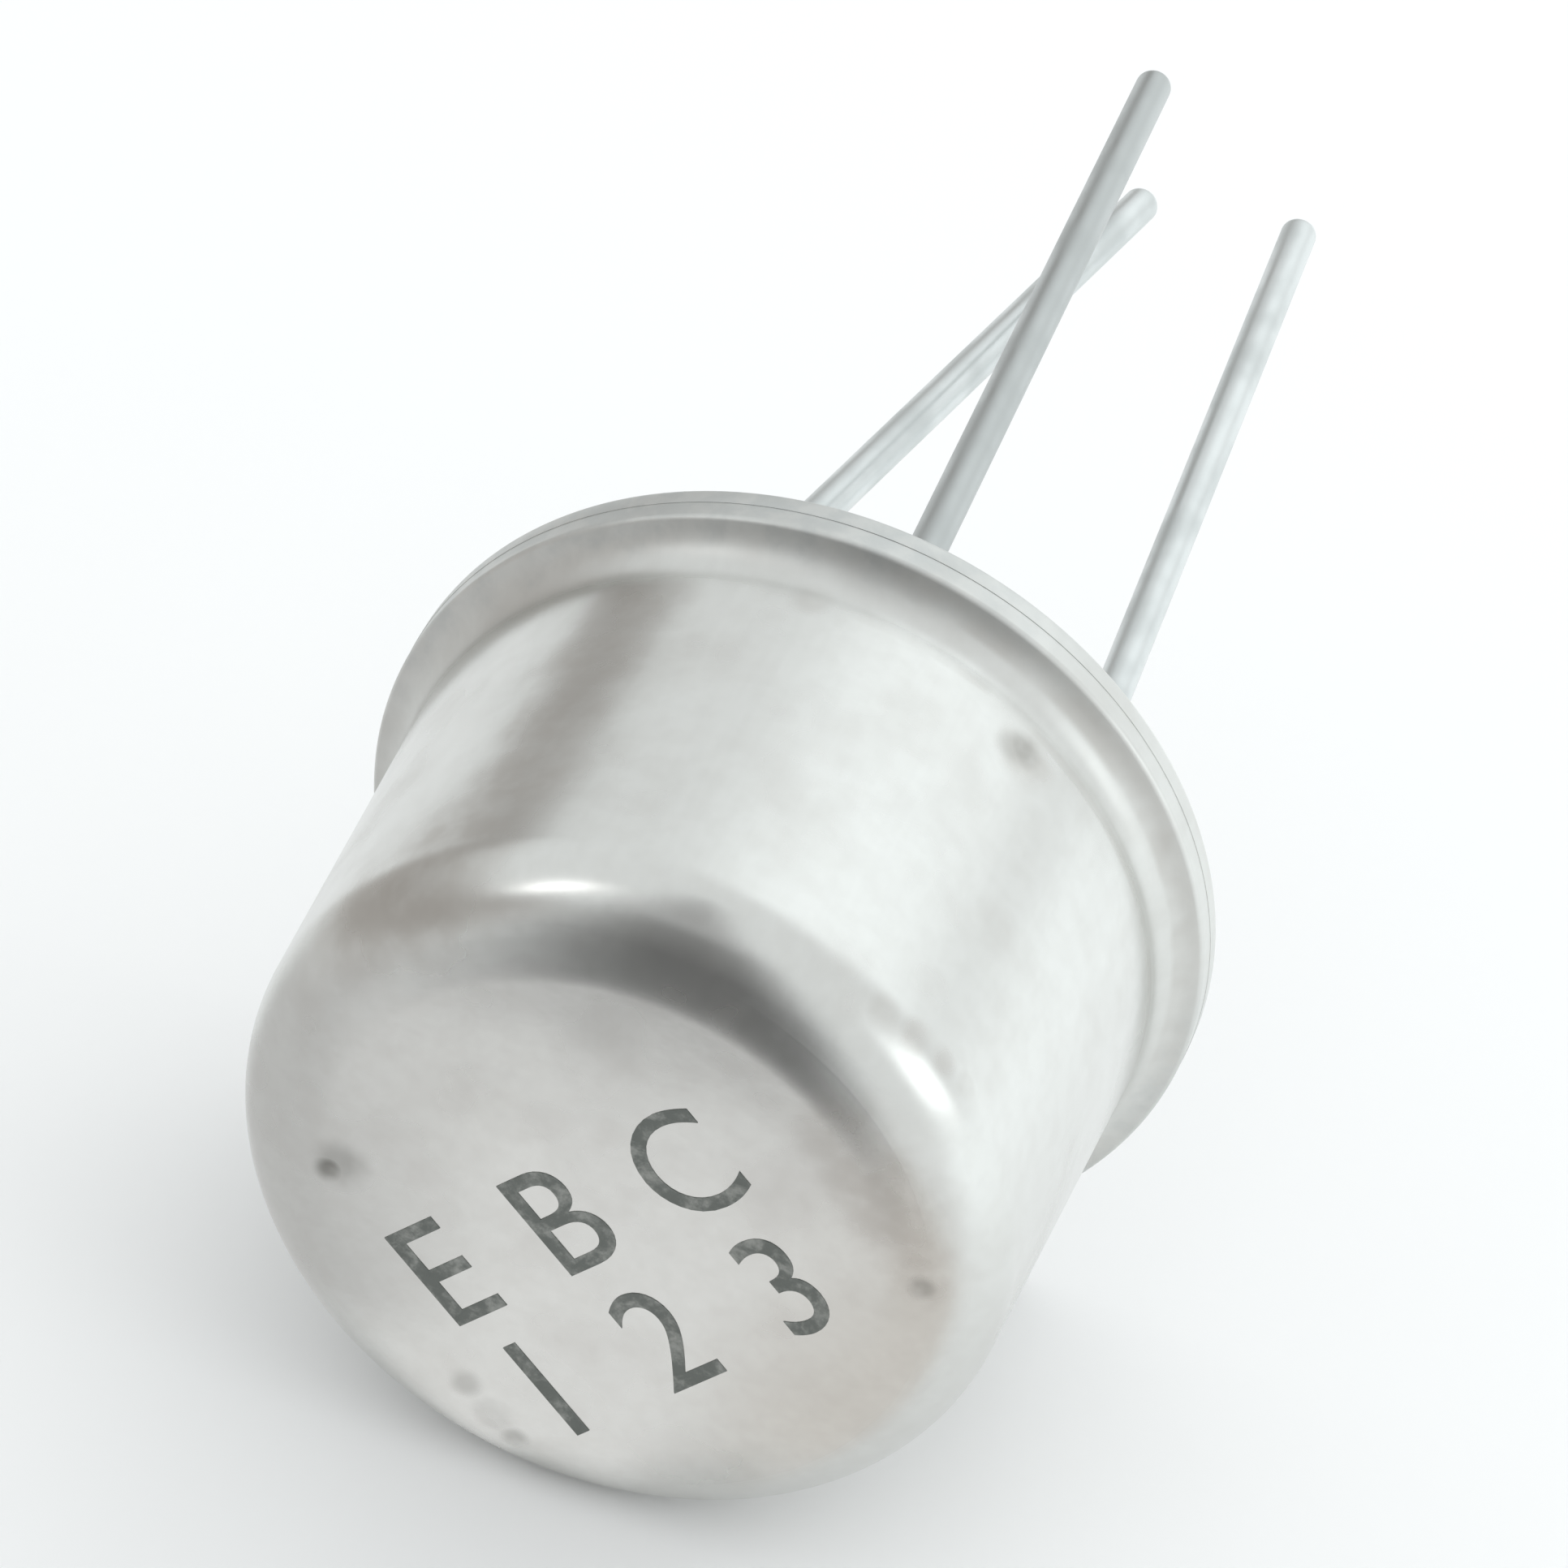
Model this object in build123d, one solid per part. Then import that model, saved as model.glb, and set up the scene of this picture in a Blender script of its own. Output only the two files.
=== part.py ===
from build123d import *
from math import acos, atan2, cos, degrees, hypot, radians, sin, sqrt, tan
import os

# A radio-frequency transistor in a round metal can, TO-39 outline, all lengths in millimetres.
# Each piece is drawn in the package's own frame: Z runs along the can from the seating plane
# towards the cap's face, and clock angles turn about Z, counter-clockwise seen from the cap.
# The finished pieces are then turned as the transistor rests on its flange, tab and cap.

# Cap, a drawn cup of one sheet, welded by its brim to the header's flange
CAN_BASE_DIAMETER = 8.20
CAN_TAPER = 0.135
PACKAGE_HEIGHT = 6.20
CAP_WALL = 0.25
SHOULDER_RADIUS = 0.86
BRIM_BEND_RADIUS = 0.22
BRIM_FLAT = 0.10
BRIM_EDGE_ROUND = 0.05

# Header, the solid metal base that carries the leads. Its flange shows just outside the brim.
FLANGE_OVERHANG = 0.03
FLANGE_THICKNESS = 0.26
FLANGE_EDGE_ROUND = 0.06
TAB_WIDTH = 0.80
TAB_LENGTH = 0.80
TAB_CORNER_ROUND = 0.15
PLATFORM_HEIGHT = 1.05
PLATFORM_CHAMFER = 0.12
PLATFORM_CLEARANCE = 0.18

# Leads, on three of the four places of a circle inside the platform's edge, with the tab half
# way to the empty place. The circle comes to 5.08 across.
LEAD_DIAMETER = 0.41
LEAD_LENGTH = 12.70
LEAD_END_ROUND = 0.14
POST_HEIGHT = 0.75
EMITTER_CLOCK = 3.0
LEAD_SPACING = 90.0
TAB_CLOCK = EMITTER_CLOCK - LEAD_SPACING / 2

# How each lead has been bent: straight out of its seal, a small jog, then straight to its end.
# Knee and end are sideways offsets from the seal, along clock 0 and clock 90.
LEAD_FOOT = 0.50
LEAD_JOG_DEPTH = 1.30
LEAD_BEND_RADIUS = 2.0
BEND_SHARE = 0.9
EMITTER_KNEE = (-0.22, -0.01)
EMITTER_END = (-0.85, 0.82)
BASE_KNEE = (-0.18, 0.0)
BASE_END = (-0.44, -0.78)
COLLECTOR_KNEE = (0.35, 0.02)
COLLECTOR_END = (2.51, 0.54)

# Glass seals of the two insulated leads, and the collector lead's socket in a shallow pocket
# that keeps its braze clear of the seating plane
SEAL_DIAMETER = 1.10
SEAL_LAND = 0.58
SEAL_RECESS = 0.05
SEAL_DISH = 0.07
SOCKET_DEPTH = 0.60
POCKET_DIAMETER = 1.30
POCKET_DEPTH = 0.16
BRAZE_SPREAD = 0.26
BRAZE_HEIGHT = 0.14

# Silicon die on its gold-silicon attach layer, in the middle of the platform
DIE_SIZE = 0.64
DIE_THICKNESS = 0.15
ATTACH_MARGIN = 0.07
ATTACH_THICKNESS = 0.03

# Gold bond wires from the die's pads to the tops of the emitter and base posts
WIRE_DIAMETER = 0.05
BOND_DIAMETER = 0.10
BOND_HEIGHT = 0.03
WIRE_LOOP = 0.30
WIRE_BEND_RADIUS = 0.18
PAD_INSET = 0.12
EMITTER_WIRE_COUNT = 3
BASE_WIRE_COUNT = 2
EMITTER_PAD_PITCH = 0.16
BASE_PAD_PITCH = 0.18
POST_BOND_PITCH = 0.12

# Worked out from the sizes above
CAN_BASE_RADIUS = CAN_BASE_DIAMETER / 2
CAN_TOP_RADIUS = CAN_BASE_RADIUS - CAN_TAPER
CAP_INNER_RADIUS = CAN_BASE_RADIUS - CAP_WALL
BRIM_TOP = FLANGE_THICKNESS + CAP_WALL
BRIM_RADIUS = CAN_BASE_RADIUS + BRIM_BEND_RADIUS + BRIM_FLAT + BRIM_EDGE_ROUND
FLANGE_RADIUS = BRIM_RADIUS + FLANGE_OVERHANG
PLATFORM_RADIUS = CAP_INNER_RADIUS - PLATFORM_CLEARANCE
SEAL_RADIUS = SEAL_DIAMETER / 2
POCKET_RADIUS = POCKET_DIAMETER / 2
LEAD_RADIUS = LEAD_DIAMETER / 2
LEAD_CIRCLE_RADIUS = PLATFORM_RADIUS - SEAL_LAND - SEAL_RADIUS
POST_TOP = PLATFORM_HEIGHT + POST_HEIGHT
DIE_TOP = PLATFORM_HEIGHT + ATTACH_THICKNESS + DIE_THICKNESS


def resting_tilt():
    """How far the can's axis dips towards the cap, from the line that touches flange and shoulder."""
    taper = atan2(CAN_TAPER, PACKAGE_HEIGHT - BRIM_TOP)
    shoulder_radial = CAN_TOP_RADIUS + SHOULDER_RADIUS * (tan(taper) - 1 / cos(taper))
    shoulder_axial = PACKAGE_HEIGHT - SHOULDER_RADIUS
    radial = FLANGE_RADIUS - FLANGE_EDGE_ROUND - shoulder_radial
    axial = shoulder_axial - (FLANGE_THICKNESS - FLANGE_EDGE_ROUND)
    rounds = SHOULDER_RADIUS - FLANGE_EDGE_ROUND
    return degrees(acos(rounds / hypot(radial, axial)) - atan2(axial, radial))


def resting_clock():
    """The clock angle that points down when the flange and one corner of the tab touch the ground."""
    corner_out = FLANGE_RADIUS + TAB_LENGTH - TAB_CORNER_ROUND
    corner_side = TAB_WIDTH / 2 - TAB_CORNER_ROUND
    roll = acos((FLANGE_RADIUS - TAB_CORNER_ROUND) / hypot(corner_out, corner_side))
    return TAB_CLOCK - degrees(roll + atan2(corner_side, corner_out))


def resting_plane():
    """The package's frame as it lies: cap towards -Y, leads towards +Y, Z up."""
    tilt = radians(resting_tilt())
    clock = radians(resting_clock())
    clock_zero = (-sin(clock), cos(clock) * sin(tilt), -cos(clock) * cos(tilt))
    towards_cap = (0, -cos(tilt), -sin(tilt))
    return Plane(origin=(0, 0, 0), x_dir=clock_zero, z_dir=towards_cap)


def clock_point(radius, clock, height=0.0):
    """A point at a radius and a clock angle, at a height above the seating plane."""
    return Vector(radius * cos(radians(clock)), radius * sin(radians(clock)), height)


def rounded(profile, corners):
    """A flat profile with each listed corner rounded, as (radial, axial, radius)."""
    for radial, axial, radius in corners:
        corner = profile.vertices().sort_by_distance((radial, axial, 0))[0]
        profile = fillet(corner, radius)
    return profile


def turned(profile):
    """A solid of revolution about the can's axis, from a profile of radial and axial values."""
    return revolve(Plane.XZ * profile, Axis.Z)


def make_cap():
    """One sheet: brim, bend, slightly tapered wall, round shoulder and flat face."""
    low = FLANGE_THICKNESS
    top = PACKAGE_HEIGHT
    profile = make_face(
        Polyline(
            (0, top),
            (CAN_TOP_RADIUS, top),
            (CAN_BASE_RADIUS, BRIM_TOP),
            (BRIM_RADIUS, BRIM_TOP),
            (BRIM_RADIUS, low),
            (CAP_INNER_RADIUS, low),
            (CAN_TOP_RADIUS - CAP_WALL, top - CAP_WALL),
            (0, top - CAP_WALL),
            close=True,
        )
    )
    corners = [
        (CAN_TOP_RADIUS, top, SHOULDER_RADIUS),
        (CAN_TOP_RADIUS - CAP_WALL, top - CAP_WALL, SHOULDER_RADIUS - CAP_WALL),
        (CAN_BASE_RADIUS, BRIM_TOP, BRIM_BEND_RADIUS),
        (CAP_INNER_RADIUS, low, BRIM_BEND_RADIUS + CAP_WALL),
        (BRIM_RADIUS, BRIM_TOP, BRIM_EDGE_ROUND),
        (BRIM_RADIUS, low, BRIM_EDGE_ROUND),
    ]
    return turned(rounded(profile, corners))


def make_header():
    """Flange with its tab, platform, two sealed holes and the collector's pocket and socket."""
    disc = Circle(FLANGE_RADIUS)
    reach = FLANGE_RADIUS + TAB_LENGTH
    tab = Pos(reach / 2, 0) * Rectangle(reach, TAB_WIDTH)
    tab = fillet(tab.vertices().group_by(Axis.X)[-1], TAB_CORNER_ROUND)
    flange = extrude(disc + Rot(0, 0, TAB_CLOCK) * tab, FLANGE_THICKNESS)
    faces = flange.faces().sort_by(Axis.Z)
    flange = fillet(faces[0].edges() + faces[-1].edges(), FLANGE_EDGE_ROUND)
    platform = extrude(Circle(PLATFORM_RADIUS), PLATFORM_HEIGHT)
    platform = chamfer(platform.edges().group_by(Axis.Z)[-1], PLATFORM_CHAMFER)
    header = flange + platform
    for step in (0, 1):
        seat = clock_point(LEAD_CIRCLE_RADIUS, EMITTER_CLOCK + step * LEAD_SPACING)
        header -= Pos(seat) * extrude(Circle(SEAL_RADIUS), PLATFORM_HEIGHT)
    seat = clock_point(LEAD_CIRCLE_RADIUS, EMITTER_CLOCK + 2 * LEAD_SPACING)
    pocket = extrude(Circle(POCKET_RADIUS), POCKET_DEPTH)
    return header - Pos(seat) * (pocket + extrude(Circle(LEAD_RADIUS), SOCKET_DEPTH))


def make_seal(clock):
    """A glass bead fused round a lead, slightly recessed and dished at both ends."""
    outer = SEAL_RADIUS
    middle = (LEAD_RADIUS + outer) / 2
    low = SEAL_RECESS
    high = PLATFORM_HEIGHT - SEAL_RECESS
    outline = [
        ThreePointArc((LEAD_RADIUS, low), (middle, low + SEAL_DISH), (outer, low)),
        Line((outer, low), (outer, high)),
        ThreePointArc((outer, high), (middle, high - SEAL_DISH), (LEAD_RADIUS, high)),
        Line((LEAD_RADIUS, high), (LEAD_RADIUS, low)),
    ]
    bead = turned(make_face(outline))
    return Pos(clock_point(LEAD_CIRCLE_RADIUS, clock)) * bead


def lead_route(clock, knee, end, top):
    """The lead's centre line: from its inner top through the seal, the knee and on to its end."""
    seat = clock_point(LEAD_CIRCLE_RADIUS, clock)
    foot = seat - Vector(0, 0, LEAD_FOOT)
    bend = seat + Vector(knee[0], knee[1], -LEAD_FOOT - LEAD_JOG_DEPTH)
    left = LEAD_LENGTH - LEAD_FOOT - (bend - foot).length
    sideways = Vector(end[0] - knee[0], end[1] - knee[1], 0)
    drop = sqrt(left**2 - sideways.length**2)
    tip = bend + sideways - Vector(0, 0, drop)
    return seat + Vector(0, 0, top), foot, bend, tip


def bend_radius(before, corner, after, room):
    """The lead's bend radius, or less where the room beside the corner is too short for it."""
    turn = (corner - before).get_angle(after - corner)
    return min(LEAD_BEND_RADIUS, BEND_SHARE * room / tan(radians(turn / 2)))


def make_lead(clock, knee, end, top):
    """A round lead along its route, with the outer end rounded off."""
    start, foot, bend, tip = lead_route(clock, knee, end, top)
    radii = [
        bend_radius(start, foot, bend, min(LEAD_FOOT, (bend - foot).length / 2)),
        bend_radius(foot, bend, tip, (bend - foot).length / 2),
    ]
    path = FilletPolyline(start, foot, bend, tip, radius=radii)
    section = Plane(origin=start, z_dir=foot - start) * Circle(LEAD_RADIUS)
    wire = sweep(section, path=path)
    outer_end = wire.faces().sort_by_distance(tip)[0]
    return fillet(outer_end.edges(), LEAD_END_ROUND)


def make_braze():
    """The small sloping collar of braze round the collector lead, on the floor of its pocket."""
    floor = POCKET_DEPTH
    corner = (LEAD_RADIUS, floor)
    spread = (LEAD_RADIUS + BRAZE_SPREAD, floor)
    climb = (LEAD_RADIUS, floor - BRAZE_HEIGHT)
    collar = turned(make_face(Polyline(corner, spread, climb, close=True)))
    clock = EMITTER_CLOCK + 2 * LEAD_SPACING
    return Pos(clock_point(LEAD_CIRCLE_RADIUS, clock)) * collar


def square_on_platform(side, low, thickness):
    """A square plate in the middle of the platform, its sides facing the emitter and base posts."""
    plate = Rot(0, 0, EMITTER_CLOCK) * Rectangle(side, side)
    return Pos(0, 0, low) * extrude(plate, thickness)


def make_wire(clock, pad_side, post_side):
    """One looped bond wire, from a pad near the die's edge to the top of the post it faces."""
    out = clock_point(1, clock)
    side = clock_point(1, clock + LEAD_SPACING)
    pad = out * (DIE_SIZE / 2 - PAD_INSET) + side * pad_side + Vector(0, 0, DIE_TOP)
    post = out * LEAD_CIRCLE_RADIUS + side * post_side + Vector(0, 0, POST_TOP)
    loop_height = POST_TOP + WIRE_LOOP
    over_pad = Vector(pad.X, pad.Y, loop_height)
    over_post = Vector(post.X, post.Y, loop_height)
    path = FilletPolyline(pad, over_pad, over_post, post, radius=WIRE_BEND_RADIUS)
    wire = sweep(Plane(origin=pad) * Circle(WIRE_DIAMETER / 2), path=path)
    for foot in (pad, post):
        wire += Pos(foot) * extrude(Circle(BOND_DIAMETER / 2), BOND_HEIGHT)
    return wire


def make_wires(name, clock, count, pad_pitch):
    """A row of bond wires, side by side from the die to one post."""
    wires = {}
    for index in range(count):
        place = index - (count - 1) / 2
        wires[f"{name}_{index + 1}"] = make_wire(clock, place * pad_pitch, place * POST_BOND_PITCH)
    return wires


def make_pieces():
    """Every piece of the transistor in the package's frame, by node name."""
    base_clock = EMITTER_CLOCK + LEAD_SPACING
    collector_clock = EMITTER_CLOCK + 2 * LEAD_SPACING
    attach_side = DIE_SIZE + 2 * ATTACH_MARGIN
    pieces = {
        "cap": make_cap(),
        "header": make_header(),
        "emitter_seal": make_seal(EMITTER_CLOCK),
        "base_seal": make_seal(base_clock),
        "emitter_lead": make_lead(EMITTER_CLOCK, EMITTER_KNEE, EMITTER_END, POST_TOP),
        "base_lead": make_lead(base_clock, BASE_KNEE, BASE_END, POST_TOP),
        "collector_lead": make_lead(
            collector_clock, COLLECTOR_KNEE, COLLECTOR_END, SOCKET_DEPTH
        ),
        "collector_braze": make_braze(),
        "die_attach": square_on_platform(attach_side, PLATFORM_HEIGHT, ATTACH_THICKNESS),
        "die": square_on_platform(DIE_SIZE, PLATFORM_HEIGHT + ATTACH_THICKNESS, DIE_THICKNESS),
    }
    pieces.update(make_wires("emitter_wire", EMITTER_CLOCK, EMITTER_WIRE_COUNT, EMITTER_PAD_PITCH))
    pieces.update(make_wires("base_wire", base_clock, BASE_WIRE_COUNT, BASE_PAD_PITCH))
    return pieces


def main():
    """Turns every piece into the resting frame and writes one file for each."""
    os.makedirs("parts", exist_ok=True)
    rest = resting_plane()
    for name, piece in make_pieces().items():
        export_step(rest * piece, f"parts/{name}.step")
    print("tilt", round(resting_tilt(), 3), "down clock", round(resting_clock(), 3))


main()
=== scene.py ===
from math import asin, atan2, cos, pi, radians, sin, sqrt, tan

import bmesh
import bpy
from bpy.props import FloatProperty, FloatVectorProperty, IntProperty, PointerProperty
from mathutils import Matrix, Quaternion, Vector
from mathutils.geometry import tessellate_polygon


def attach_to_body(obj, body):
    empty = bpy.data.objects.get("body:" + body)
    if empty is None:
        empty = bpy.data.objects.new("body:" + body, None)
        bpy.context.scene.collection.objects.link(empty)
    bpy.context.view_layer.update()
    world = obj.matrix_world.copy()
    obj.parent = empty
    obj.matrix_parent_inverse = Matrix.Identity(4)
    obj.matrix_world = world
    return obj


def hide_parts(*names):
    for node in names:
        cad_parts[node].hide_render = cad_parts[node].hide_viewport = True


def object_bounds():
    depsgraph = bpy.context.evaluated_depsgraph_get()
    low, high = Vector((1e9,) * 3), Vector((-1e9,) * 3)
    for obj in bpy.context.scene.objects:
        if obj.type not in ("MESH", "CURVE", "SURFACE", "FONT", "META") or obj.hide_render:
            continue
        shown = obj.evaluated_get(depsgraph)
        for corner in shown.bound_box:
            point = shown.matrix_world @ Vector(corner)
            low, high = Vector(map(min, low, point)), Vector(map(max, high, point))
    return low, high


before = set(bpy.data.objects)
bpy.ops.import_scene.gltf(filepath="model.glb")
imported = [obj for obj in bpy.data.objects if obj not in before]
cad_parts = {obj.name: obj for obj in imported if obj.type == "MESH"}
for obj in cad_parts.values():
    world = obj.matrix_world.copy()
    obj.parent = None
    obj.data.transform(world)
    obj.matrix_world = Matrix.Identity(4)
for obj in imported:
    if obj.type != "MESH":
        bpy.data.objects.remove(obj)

bl_info = {
    "name": "Metal can transistor",
    "version": (1, 0, 0),
    "blender": (4, 5, 0),
    "location": "3D View > Sidebar > Transistor",
    "description": "A radio-frequency transistor in a round nickel-plated can, lying on its side",
    "category": "Add Mesh",
}

MM = 0.001
CAD_BOX = [list(corner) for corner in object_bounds()]
GROUND = CAD_BOX[0][2]
CLOSE = 1e-6 * MM
SHARP_ANGLE = radians(35)
ORIGIN = Vector((0, 0, 0))
FACE_AHEAD = 5 * MM


def length(name, millimetres, description):
    """A size in millimetres, kept in metres."""
    return FloatProperty(
        name=name, description=description, default=millimetres * MM, unit="LENGTH", precision=6
    )


def angle(name, value, description):
    """An angle in degrees, kept in radians."""
    return FloatProperty(
        name=name, description=description, default=radians(value), unit="ROTATION", subtype="ANGLE"
    )


def colour(name, value, description):
    """A plain colour, as the surface gives it back in white light."""
    return FloatVectorProperty(
        name=name, description=description, default=value, subtype="COLOR", size=3, min=0, max=1
    )


def amount(name, value, description):
    """A plain number, such as a roughness or a brightness."""
    return FloatProperty(name=name, description=description, default=value, min=0)


class LyingPose(bpy.types.PropertyGroup):
    """How the can lies: its dip towards the cap, and the clock angle that points down."""

    tilt: angle("Dip towards the cap", 5.67632978, "Angle between the can's axis and the ground")
    down_clock: angle("Clock angle that points down", -77.24979936, "Where the ground is, on the can's clock")


class CanSizes(bpy.types.PropertyGroup):
    """Sizes of the drawn cap."""

    base_diameter: length("Base diameter", 8.20, "Outside of the wall, at the brim")
    taper: length("Taper", 0.135, "How much the wall's radius shrinks towards the face")
    height: length("Height", 6.20, "Seating plane to the cap's face")
    wall: length("Wall", 0.25, "Thickness of the sheet")
    shoulder_radius: length("Shoulder radius", 0.83, "Round edge of the face")
    shoulder_width: length("Shoulder width", 0.835, "From the wall in to where the face starts to bend")
    shoulder_slope: angle("Shoulder slope", 15.0, "Slope of the shoulder's first, gentle bend")
    shoulder_ease: length("Shoulder ease", 1.9, "Radius of that gentle bend")
    brim_bend: length("Brim bend", 0.22, "Inside bend between wall and brim")
    brim_sweep: length("Brim sweep", 0.45, "Radius of the wall's outer sweep into the brim")
    brim_slope: angle("Brim slope", 17.0, "Slope of the brim's upper side")
    brim_width: length("Brim width", 0.394, "How far the brim stands out from the wall")
    brim_seam: length("Brim seam", 0.004, "Rounding of the brim's lower edge, at the seam")
    brim_crown: length("Brim crown", 0.068, "Rounding of the brim's upper edge")
    sides: IntProperty(name="Sides", description="Steps round the can", default=288, min=24)


class HeaderSizes(bpy.types.PropertyGroup):
    """Sizes of the header, its seals and its tab."""

    overhang: length("Flange overhang", 0.006, "How far the flange shows outside the brim")
    flange: length("Flange thickness", 0.26, "Thickness of the flange and its tab")
    flange_edge: length("Flange edge", 0.09, "Rounding of the flange's lower edge")
    flange_seam: length("Flange seam", 0.004, "Rounding of the flange's upper edge, at the seam")
    tab_width: length("Tab width", 0.80, "Width of the index tab")
    tab_length: length("Tab length", 0.80, "How far the tab stands out of the flange")
    tab_corner: length("Tab corner", 0.15, "Rounding of the tab's corners")
    platform: length("Platform height", 1.05, "Seating plane to the platform inside the can")
    platform_chamfer: length("Platform chamfer", 0.12, "Bevel of the platform's upper edge")
    platform_gap: length("Platform gap", 0.18, "Play between the platform and the cap")
    seal_diameter: length("Seal diameter", 1.10, "Glass bead round an insulated lead")
    seal_land: length("Seal land", 0.58, "Metal between a seal and the platform's edge")
    seal_recess: length("Seal recess", 0.05, "How far the glass lies back in its hole")
    seal_dish: length("Seal dish", 0.07, "How far the glass sinks between lead and hole")
    pocket_diameter: length("Pocket diameter", 1.30, "Pocket of the collector lead's braze")
    pocket_depth: length("Pocket depth", 0.16, "Depth of that pocket")
    socket_depth: length("Socket depth", 0.60, "Depth of the collector lead's socket")
    braze_spread: length("Braze spread", 0.26, "Width of the braze collar")
    braze_height: length("Braze height", 0.14, "Height of the braze collar")


class LeadSizes(bpy.types.PropertyGroup):
    """Sizes and places of the three leads."""

    diameter: length("Lead diameter", 0.41, "Thickness of a lead")
    reach: length("Lead length", 12.70, "Length of a lead outside the seating plane")
    end_round: length("End rounding", 0.14, "Rounding of a lead's outer end")
    post: length("Post height", 0.75, "How far an insulated lead stands above the platform")
    foot: length("Foot", 0.50, "Straight part next to the header")
    jog: length("Jog depth", 1.30, "Depth of the small bend after the foot")
    bend: length("Bend radius", 2.0, "Radius of a lead's bends")
    emitter_clock: angle("Emitter clock", 3.0, "Clock angle of the emitter lead")
    spacing: angle("Lead spacing", 90.0, "Clock angle from one lead to the next")


class ChipSizes(bpy.types.PropertyGroup):
    """Sizes of the chip and its bond wires."""

    side: length("Chip side", 0.64, "Side of the square silicon chip")
    thickness: length("Chip thickness", 0.15, "Thickness of the chip")
    attach_margin: length("Attach margin", 0.07, "How far the attach layer shows round the chip")
    attach: length("Attach thickness", 0.03, "Thickness of the attach layer")
    wire: length("Bond wire", 0.05, "Thickness of a bond wire")
    bond: length("Bond width", 0.10, "Width of a bond's foot")
    bond_height: length("Bond height", 0.03, "Height of a bond's foot")
    loop: length("Wire loop", 0.30, "How far a wire rises above the posts")
    wire_bend: length("Wire bend", 0.18, "Radius of a wire's bends")
    pad_inset: length("Pad inset", 0.12, "Pad's distance from the chip's edge")
    emitter_pitch: length("Emitter pad pitch", 0.16, "Distance between emitter wires on the chip")
    base_pitch: length("Base pad pitch", 0.18, "Distance between base wires on the chip")
    post_pitch: length("Post pitch", 0.12, "Distance between wires on a post")


class Finishes(bpy.types.PropertyGroup):
    """Colours and gloss of the finishes."""

    nickel: colour("Nickel", (0.685, 0.69, 0.67), "Satin nickel plate of can and header")
    # This brown also paints shade lines and reflection spots on the cap.
    tarnish_and_painted_shade: colour("Tarnish", (0.51, 0.493, 0.465), "Brownish film in the nickel's stains")
    dull: colour("Dull nickel", (0.57, 0.585, 0.575), "Greyed plate on two sides of the rim")
    grime: colour("Grime", (0.12, 0.115, 0.10), "Dark spots and scuffs on the nickel")
    tin: colour("Tin", (0.66, 0.685, 0.68), "Tinned leads")
    tin_dull: colour("Dull tin", (0.585, 0.61, 0.605), "Duller patches of the tin")
    # Painted shade: a darker tin for the base lead.
    shaded_tin: colour("Greyed tin", (0.46, 0.48, 0.475), "The lead that has dulled most")
    glass: colour("Glass", (0.10, 0.15, 0.13), "Glass of the seals")
    braze: colour("Braze", (0.72, 0.66, 0.50), "Braze round the collector lead")
    gold: colour("Gold", (0.90, 0.66, 0.28), "Bond wires and attach layer")
    silicon: colour("Silicon", (0.10, 0.11, 0.14), "Polished silicon")
    ink: colour("Ink", (0.10, 0.11, 0.10), "Stamped pin key")
    ink_worn: colour("Worn ink", (0.30, 0.305, 0.285), "Where the ink has rubbed off")
    nickel_roughness: amount("Nickel roughness", 0.235, "Gloss of the nickel, lower is shinier")
    tin_roughness: amount("Tin roughness", 0.38, "Gloss of the leads, lower is shinier")


class PinKey(bpy.types.PropertyGroup):
    """Place and size of the stamped pin key on the cap's face."""

    clock: angle("Line direction", 61.6, "Clock angle in which the lines are read")
    centre_x: length("Centre x", 0.20, "First line's middle, along clock 0")
    centre_y: length("Centre y", -0.50, "First line's middle, along clock 90")
    letter: length("Letter height", 1.22, "Height of a letter")
    line_pitch: length("Line pitch", 1.63, "Distance between the two lines")
    column_pitch: length("Column pitch", 1.60, "Distance between two letters")
    thickness: length("Ink thickness", 0.008, "Thickness of the ink")


class StageSettings(bpy.types.PropertyGroup):
    """Camera, floor and light."""

    azimuth: angle("Camera azimuth", 9.9978, "Camera's turn to the right of the can's front")
    elevation: angle("Camera elevation", 33.9465, "Camera's height above the horizon")
    roll: angle("Camera roll", 13.2288, "Camera's turn about its own axis")
    distance: length("Camera distance", 83.846, "Camera to the point that it aims at")
    lens: FloatProperty(name="Lens", description="Focal length on a 36 mm sensor", default=186.335)
    aim: FloatVectorProperty(
        name="Aim", description="Point that the camera looks at", unit="LENGTH",
        default=(-0.3622 * MM, 0.3100 * MM, 0.5469 * MM), size=3,
    )
    floor_size: length("Floor size", 3000.0, "Side of the floor")
    floor_colour: colour("Floor", (0.95, 0.95, 0.95), "Colour of the floor")
    sky_colour: colour("Room light", (0.97, 0.995, 1.0), "Colour of the even light")
    sky: amount("Room brightness", 0.97, "Brightness of the even light")


class TransistorSettings(bpy.types.PropertyGroup):
    """All the settings that the panel shows."""

    pose: PointerProperty(type=LyingPose)
    can: PointerProperty(type=CanSizes)
    header: PointerProperty(type=HeaderSizes)
    leads: PointerProperty(type=LeadSizes)
    chip: PointerProperty(type=ChipSizes)
    finish: PointerProperty(type=Finishes)
    key: PointerProperty(type=PinKey)
    stage: PointerProperty(type=StageSettings)


def settings():
    """The scene's transistor settings."""
    return bpy.context.scene.transistor


# Places on the can


def lying_matrix():
    """Turns the package's frame, Z along the can towards the cap, into the frame it lies in."""
    pose = settings().pose
    dip, down = pose.tilt, pose.down_clock
    clock_zero = Vector((-sin(down), cos(down) * sin(dip), -cos(down) * cos(dip)))
    towards_cap = Vector((0, -cos(dip), -sin(dip)))
    clock_quarter = towards_cap.cross(clock_zero)
    return Matrix((clock_zero, clock_quarter, towards_cap)).transposed().to_4x4()


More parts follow.
